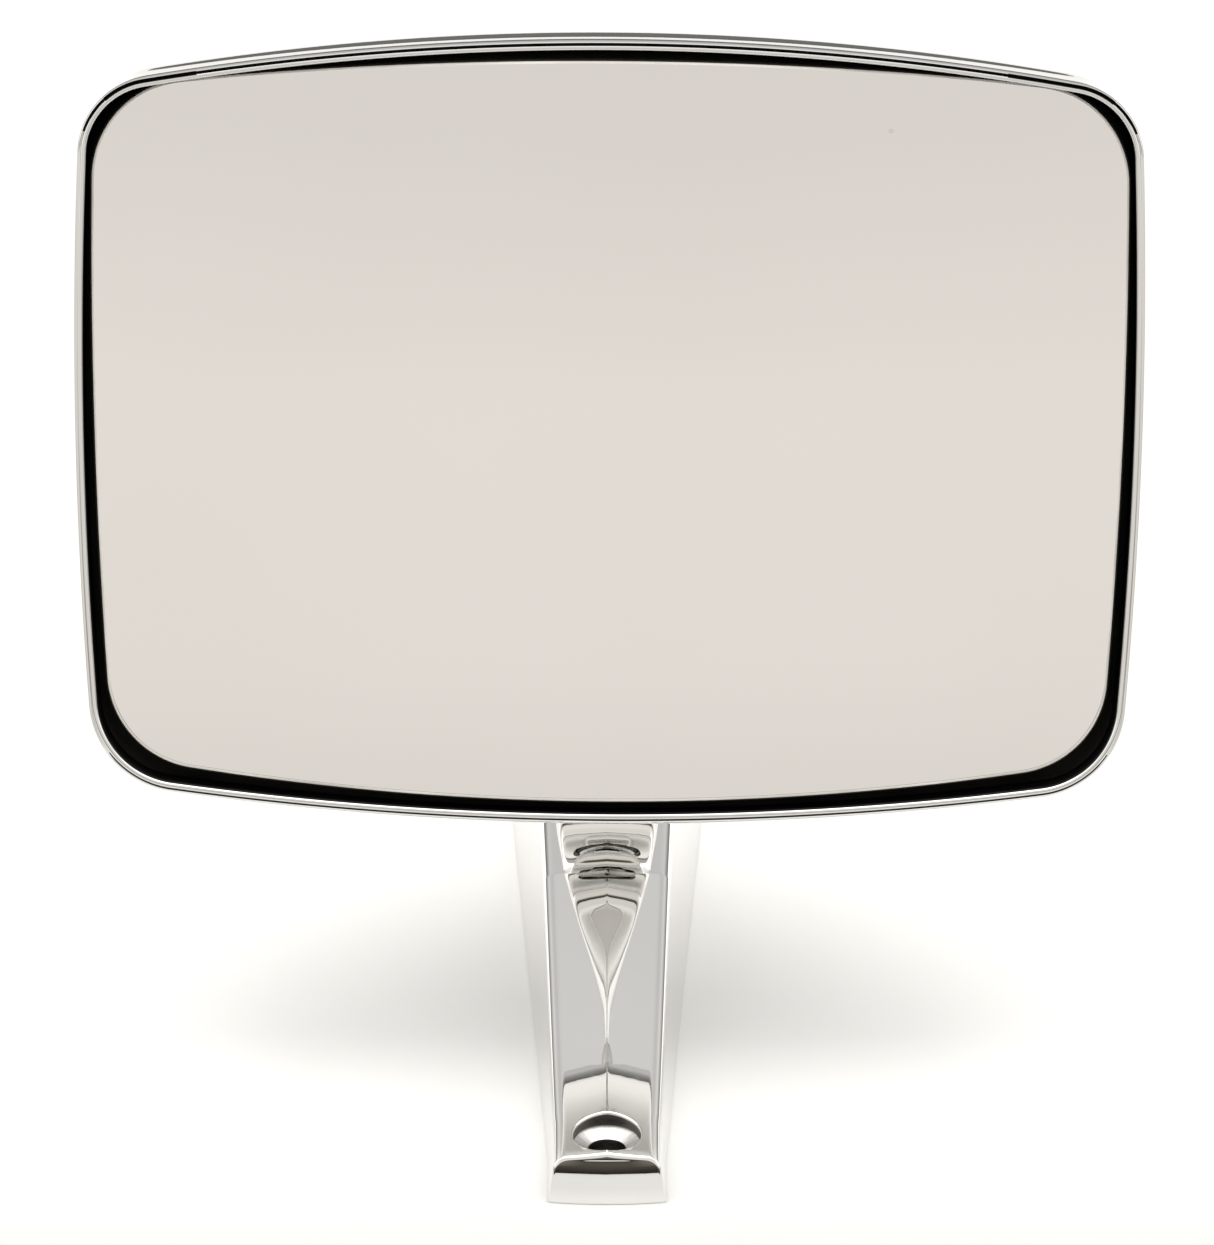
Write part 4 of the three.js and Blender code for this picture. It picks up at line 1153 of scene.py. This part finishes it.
    def pocket_ring(Y, inset=0.0, top_drop=0.0):
        b = FOOT_HALF_WIDTH + BASE_FLARE * max(0, Y - 10) - POCKET_WALL - inset
        s = SHOULDER_HALF_WIDTH + SHOULDER_FLARE * Y - POCKET_WALL + 0.3 - inset
        k = max(0.45, plan_at(Y) - (Y - NOSE_START) * 0.03) if Y > NOSE_START else 1
        top = float(ridge_at(min(Y + 4, ARM_LENGTH))) - POCKET_ROOF - top_drop
        r = 1.1
        pts = [(b * k, -1), (b * k, 0), ((b + s) / 2 * k, top / 2)]
        for t in np.linspace(0, math.pi / 2, 7):
            pts.append((s * k - r + r * math.cos(t), top - r + r * math.sin(t)))
        pts.append((0, top))
        pts = np.array(pts)
        full = np.vstack([pts, pts[:-1][::-1] * np.array([-1, 1])])
        return np.column_stack([full[:, 0], np.full(len(full), Y), full[:, 1]])

    ys = [POCKET_FROM, POCKET_FROM + 0.15, POCKET_FROM + 0.6, POCKET_FROM + 1.4, 30, 40, 50, 60, 64, 70, 80, 90, NOSE_START, 100, 101.5, 103, 104.2, POCKET_TO - 0.2, POCKET_TO]
    for Y in ys:
        d = min(Y - POCKET_FROM, POCKET_TO - Y)
        inset = 1.1 * (1 - math.sqrt(max(0, 1 - (1 - min(d, 1.1) / 1.1) ** 2))) if d < 1.1 else 0
        skin.ring(pocket_ring(Y, inset * 0.8, inset * 0.8), 0)
    skin.f += [tuple(skin.rings[0]), tuple(skin.rings[-1][::-1])]
    skin.m += [0, 0]
    hollow = skin.object("hollow", [M_CAST])
    body = combine(body, hollow)

    # stud bore and the bolt washer's spot face
    r = STUD_RADIUS + GAP
    along = Matrix([list(q) for q in T(0, PIVOT_Y, PIVOT_Z) @ RX(STUD_LEAN)])
    bore = lathe("bore", [(0, -60), (r, -60), (r, BALL_BASE - 0.4), (r + 0.5, BALL_BASE + 0.2), (r + 0.5, 5), (0, 5)], [M_CAST], seg=64)
    bore.data.transform(along)
    body = combine(body, bore)
    spot = lathe("spot", [(0, -60), (7.2, -60), (7.2, BOLT_SEAT), (0, BOLT_SEAT)], [M_CAST], seg=72)
    spot.data.transform(along)
    s = Skin()
    for z in (-8.0, 52.0):
        s.ring([(6.3, PIVOT_Y + 3.7, z), (6.3, PIVOT_Y + 43.7, z), (-6.3, PIVOT_Y + 43.7, z), (-6.3, PIVOT_Y + 3.7, z)])
    s.f += [tuple(s.rings[0]), tuple(s.rings[1][::-1])]
    s.m += [0, 0]
    keep = s.object("keep", [M_CAST])
    spot = combine(spot, keep, "INTERSECT")
    body = combine(body, spot)

    # screw hole: the mouth's rounding follows the roof, so its rings aren't flat
    seg = 128
    a = np.arange(seg) / seg * 2 * np.pi
    skin = Skin()
    top = float(ridge_at(HOLE_FROM_FOOT))
    cone_top = top - BORE_DEPTH

    def roof(x, y):
        return ridge_at(HOLE_FROM_FOOT + y) - ROOF_DROP * np.abs(x)

    def level(radius, z, mat):
        skin.ring(np.column_stack([radius * np.cos(a), radius * np.sin(a), np.full(seg, z)]), mat)

    def under_roof(radius, d, mat):
        x, y = radius * np.cos(a), radius * np.sin(a)
        skin.ring(np.column_stack([x, y, roof(x, y) - d]), mat)

    skin.pole((0, 0, -1), 0)
    level(HOLE_RADIUS + 0.3, -1, 0)
    level(HOLE_RADIUS + 0.3, 0.0, 0)
    # rings with material 2 take the dark bore steel: painted shade on the through-hole's wall and the counterbore's
    # wall
    level(HOLE_RADIUS, 0.3, 2)
    level(HOLE_RADIUS, 2.0, 2)
    level(HOLE_RADIUS, cone_top - CONE_DEPTH - 0.08, 2)
    level(HOLE_RADIUS + 0.03, cone_top - CONE_DEPTH, 2)
    level(HOLE_RADIUS + 0.1, cone_top - CONE_DEPTH + 0.05, 1)
    for f in (0.2, 0.4, 0.6, 0.8, 1.0):
        level(HOLE_RADIUS + 0.1 + (CONE_RADIUS - HOLE_RADIUS - 0.1) * f, cone_top - (CONE_DEPTH - 0.05) * (1 - f), 1)
    level(BORE_RADIUS - 0.08, cone_top + 0.06, 1)
    level(BORE_RADIUS, cone_top + 0.16, 2)
    under_roof(BORE_RADIUS, 0.32, 2)
    for t in np.linspace(0, math.pi / 2, 7)[1:]:
        under_roof(BORE_RADIUS + 0.24 * (1 - math.cos(t)), 0.24 * (1 - math.sin(t)), 0)
    under_roof(BORE_RADIUS + 0.27, -0.03, 0)
    under_roof(BORE_RADIUS + 0.27, -1.5, 0)
    skin.pole((0, 0, top + 2), 0)
    hole = skin.object("hole", [M_ARM, M_HOLE, M_BORE])
    hole.data.transform(Matrix.Translation((0, HOLE_FROM_FOOT, 0)))
    body = combine(body, hole)
    tidy(body)
    return place(body, ARM, "arm", ("arm_casting",), sharp=28, weighted=True)


BODY_WASHER = next(b for b in frame["bodies"] if "washer" in b)
BODY_LINER = next(b for b in frame["bodies"] if "liner" in b)

head_shell()
glass()
gasket()
foam_pad()
plate()
screws()
pivot()
arm()


# ---- floor, world and lights -------------------------------------------------------------------
# the floor is darker in front of the foot, on the -Y side: painted shade, seen reflected in the foot's end face
FLOOR_FRONT = 0.56


def floor():
    # open under the arm's hollow, where nothing above can show it, so that the underside gets light
    seg, rings = 96, (0.15, 0.4, 1.0, 2.0, 4.0, 9.0, 20.0)
    a = np.linspace(0, 2 * np.pi, seg, endpoint=False)
    c, q = np.cos(a), np.sin(a)
    power = lambda t: np.sign(t) * np.abs(t) ** 0.25
    v, f = list(zip(0.0055 * power(c), 0.0485 + 0.0385 * power(q), np.zeros(seg))), []
    for r in rings:
        v += list(zip(r * c, 0.0485 + r * q, np.zeros(seg)))
    for i in range(seg):
        j = (i + 1) % seg
        for k in range(len(rings)):
            f.append((k * seg + i, (k + 1) * seg + i, (k + 1) * seg + j, k * seg + j))
    me = bpy.data.meshes.new("floor")
    me.from_pydata(v, [], f)
    mat = bpy.data.materials.new("floor_pale")
    mat.use_nodes = True
    t = mat.node_tree
    t.nodes.clear()
    out = t.nodes.new("ShaderNodeOutputMaterial")
    dif = t.nodes.new("ShaderNodeBsdfDiffuse")
    pos = t.nodes.new("ShaderNodeTexCoord")
    sep = t.nodes.new("ShaderNodeSeparateXYZ")
    t.links.new(pos.outputs["Object"], sep.inputs["Vector"])
    # painted shade on the floor in front of the foot, blending out by y = 25 mm
    fade = t.nodes.new("ShaderNodeMapRange")
    fade.interpolation_type = "SMOOTHSTEP"
    fade.inputs["From Min"].default_value = -0.035
    fade.inputs["From Max"].default_value = 0.025
    t.links.new(sep.outputs["Y"], fade.inputs["Value"])
    tone = t.nodes.new("ShaderNodeMix")
    tone.data_type = "RGBA"
    tone.inputs[6].default_value = (FLOOR_FRONT, FLOOR_FRONT * 0.995, FLOOR_FRONT * 0.985, 1)
    tone.inputs[7].default_value = (0.87, 0.865, 0.856, 1)
    t.links.new(fade.outputs["Result"], tone.inputs[0])
    t.links.new(tone.outputs[2], dif.inputs["Color"])
    clear = t.nodes.new("ShaderNodeBsdfTransparent")
    geo = t.nodes.new("ShaderNodeNewGeometry")
    mix = t.nodes.new("ShaderNodeMixShader")
    t.links.new(geo.outputs["Backfacing"], mix.inputs["Fac"])
    t.links.new(dif.outputs["BSDF"], mix.inputs[1])
    t.links.new(clear.outputs["BSDF"], mix.inputs[2])
    t.links.new(mix.outputs["Shader"], out.inputs["Surface"])
    me.materials.append(mat)
    ob = bpy.data.objects.new("floor", me)
    scene.collection.objects.link(ob)


floor()

world = bpy.data.worlds.new("studio")
scene.world = world
world.use_nodes = True
wt = world.node_tree
wt.nodes.clear()
w_out = wt.nodes.new("ShaderNodeOutputWorld")
w_bg = wt.nodes.new("ShaderNodeBackground")
wt.links.new(w_bg.outputs["Background"], w_out.inputs["Surface"])
w_co = wt.nodes.new("ShaderNodeTexCoord")
w_sep = wt.nodes.new("ShaderNodeSeparateXYZ")
wt.links.new(w_co.outputs["Generated"], w_sep.inputs["Vector"])


def wmath(op, a, b=None, c=None):
    n = wt.nodes.new("ShaderNodeMath")
    n.operation = op
    for k, v in enumerate((a, b, c)):
        if v is None:
            continue
        if isinstance(v, (int, float)):
            n.inputs[k].default_value = v
        else:
            wt.links.new(v, n.inputs[k])
    return n.outputs["Value"]


def wramp(fac, stops):
    """Colours at elevations from -30 to 90 degrees."""
    n = wt.nodes.new("ShaderNodeValToRGB")
    e = n.color_ramp.elements
    for k, (el, col) in enumerate(stops):
        pos = (el + 30) / 120
        q = e[k] if k < 2 else e.new(pos)
        q.position = pos
        q.color = (*col, 1)
    wt.links.new(fac, n.inputs["Fac"])
    return n.outputs["Color"]


elev = wmath("MULTIPLY", wmath("ARCSINE", w_sep.outputs["Z"]), 180 / math.pi)
u = wmath("DIVIDE", wmath("ADD", elev, 30.0), 120.0)
warm = lambda v: (v, v * 0.955, v * 0.905)
soft = lambda v: (v, v * 0.99, v * 0.965)
near = wramp(u, [
    (-30, soft(0.9)), (-3, soft(0.02)), (-0.6, (0.008, 0.006, 0.004)), (0.4, (0.02, 0.016, 0.011)), (3.0, (0.13, 0.12, 0.10)),
    (5.6, (0.27, 0.25, 0.215)), (6.2, warm(0.86)), (9, warm(0.93)), (14, warm(0.95)), (19, warm(0.86)), (24, warm(0.84)), (34, soft(0.95)), (52, soft(1.35)), (90, soft(1.5)),
])
far = wramp(u, [(-30, soft(0.8)), (-2, soft(0.14)), (2, soft(0.20)), (9, soft(0.42)), (16, soft(0.72)), (30, soft(0.62)), (46, soft(0.95)), (90, soft(1.3))])
# share of the camera-side band: full within about 50 degrees of -Y, gone at the sides
length = wmath("SQRT", wmath("ADD", wmath("POWER", w_sep.outputs["X"], 2.0), wmath("POWER", w_sep.outputs["Y"], 2.0)))
facing = wmath("DIVIDE", wmath("MULTIPLY", w_sep.outputs["Y"], -1.0), wmath("MAXIMUM", length, 1e-4))
share = wt.nodes.new("ShaderNodeMapRange")
share.interpolation_type = "SMOOTHSTEP"
share.inputs["From Min"].default_value = 0.1
share.inputs["From Max"].default_value = 0.6
wt.links.new(facing, share.inputs["Value"])
wmix = wt.nodes.new("ShaderNodeMix")
wmix.data_type = "RGBA"
wt.links.new(share.outputs["Result"], wmix.inputs[0])
wt.links.new(far, wmix.inputs[6])
wt.links.new(near, wmix.inputs[7])
# brighter walls of light to the left and right
sides = wramp(u, [(-30, soft(0.9)), (-2, soft(0.30)), (2, soft(0.42)), (8, soft(0.95)), (16, soft(1.6)), (32, soft(1.3)), (48, soft(1.75)), (70, soft(1.75)), (90, soft(1.4))])
flank = wt.nodes.new("ShaderNodeMapRange")
flank.interpolation_type = "SMOOTHSTEP"
flank.inputs["From Min"].default_value = 0.45
flank.inputs["From Max"].default_value = 0.85
wt.links.new(wmath("DIVIDE", wmath("ABSOLUTE", w_sep.outputs["X"]), wmath("MAXIMUM", length, 1e-4)), flank.inputs["Value"])
bright = wt.nodes.new("ShaderNodeMix")
bright.data_type = "RGBA"
wt.links.new(flank.outputs["Result"], bright.inputs[0])
wt.links.new(wmix.outputs[2], bright.inputs[6])
wt.links.new(sides, bright.inputs[7])
# plain pale surroundings where the view passes the floor's edge
path = wt.nodes.new("ShaderNodeLightPath")
plain = wt.nodes.new("ShaderNodeMix")
plain.data_type = "RGBA"
wt.links.new(path.outputs["Is Camera Ray"], plain.inputs[0])
wt.links.new(bright.outputs[2], plain.inputs[6])
plain.inputs[7].default_value = (0.96, 0.955, 0.945, 1)
wt.links.new(plain.outputs[2], w_bg.inputs["Color"])


def area(name, at_, to, size, radiance, tint=(1, 0.99, 0.97)):
    d = bpy.data.lights.new(name, "AREA")
    d.shape, d.size, d.size_y = "RECTANGLE", *size
    d.energy = radiance * math.pi * size[0] * size[1]
    d.color = tint
    ob = bpy.data.objects.new(name, d)
    scene.collection.objects.link(ob)
    ob.location = at_
    ob.rotation_mode = "QUATERNION"
    ob.rotation_quaternion = (Vector(to) - Vector(at_)).to_track_quat("-Z", "Y")
    return ob


area("overhead", (0.0, 0.05, 1.1), (0, 0.04, 0), (1.2, 0.9), 1.9)
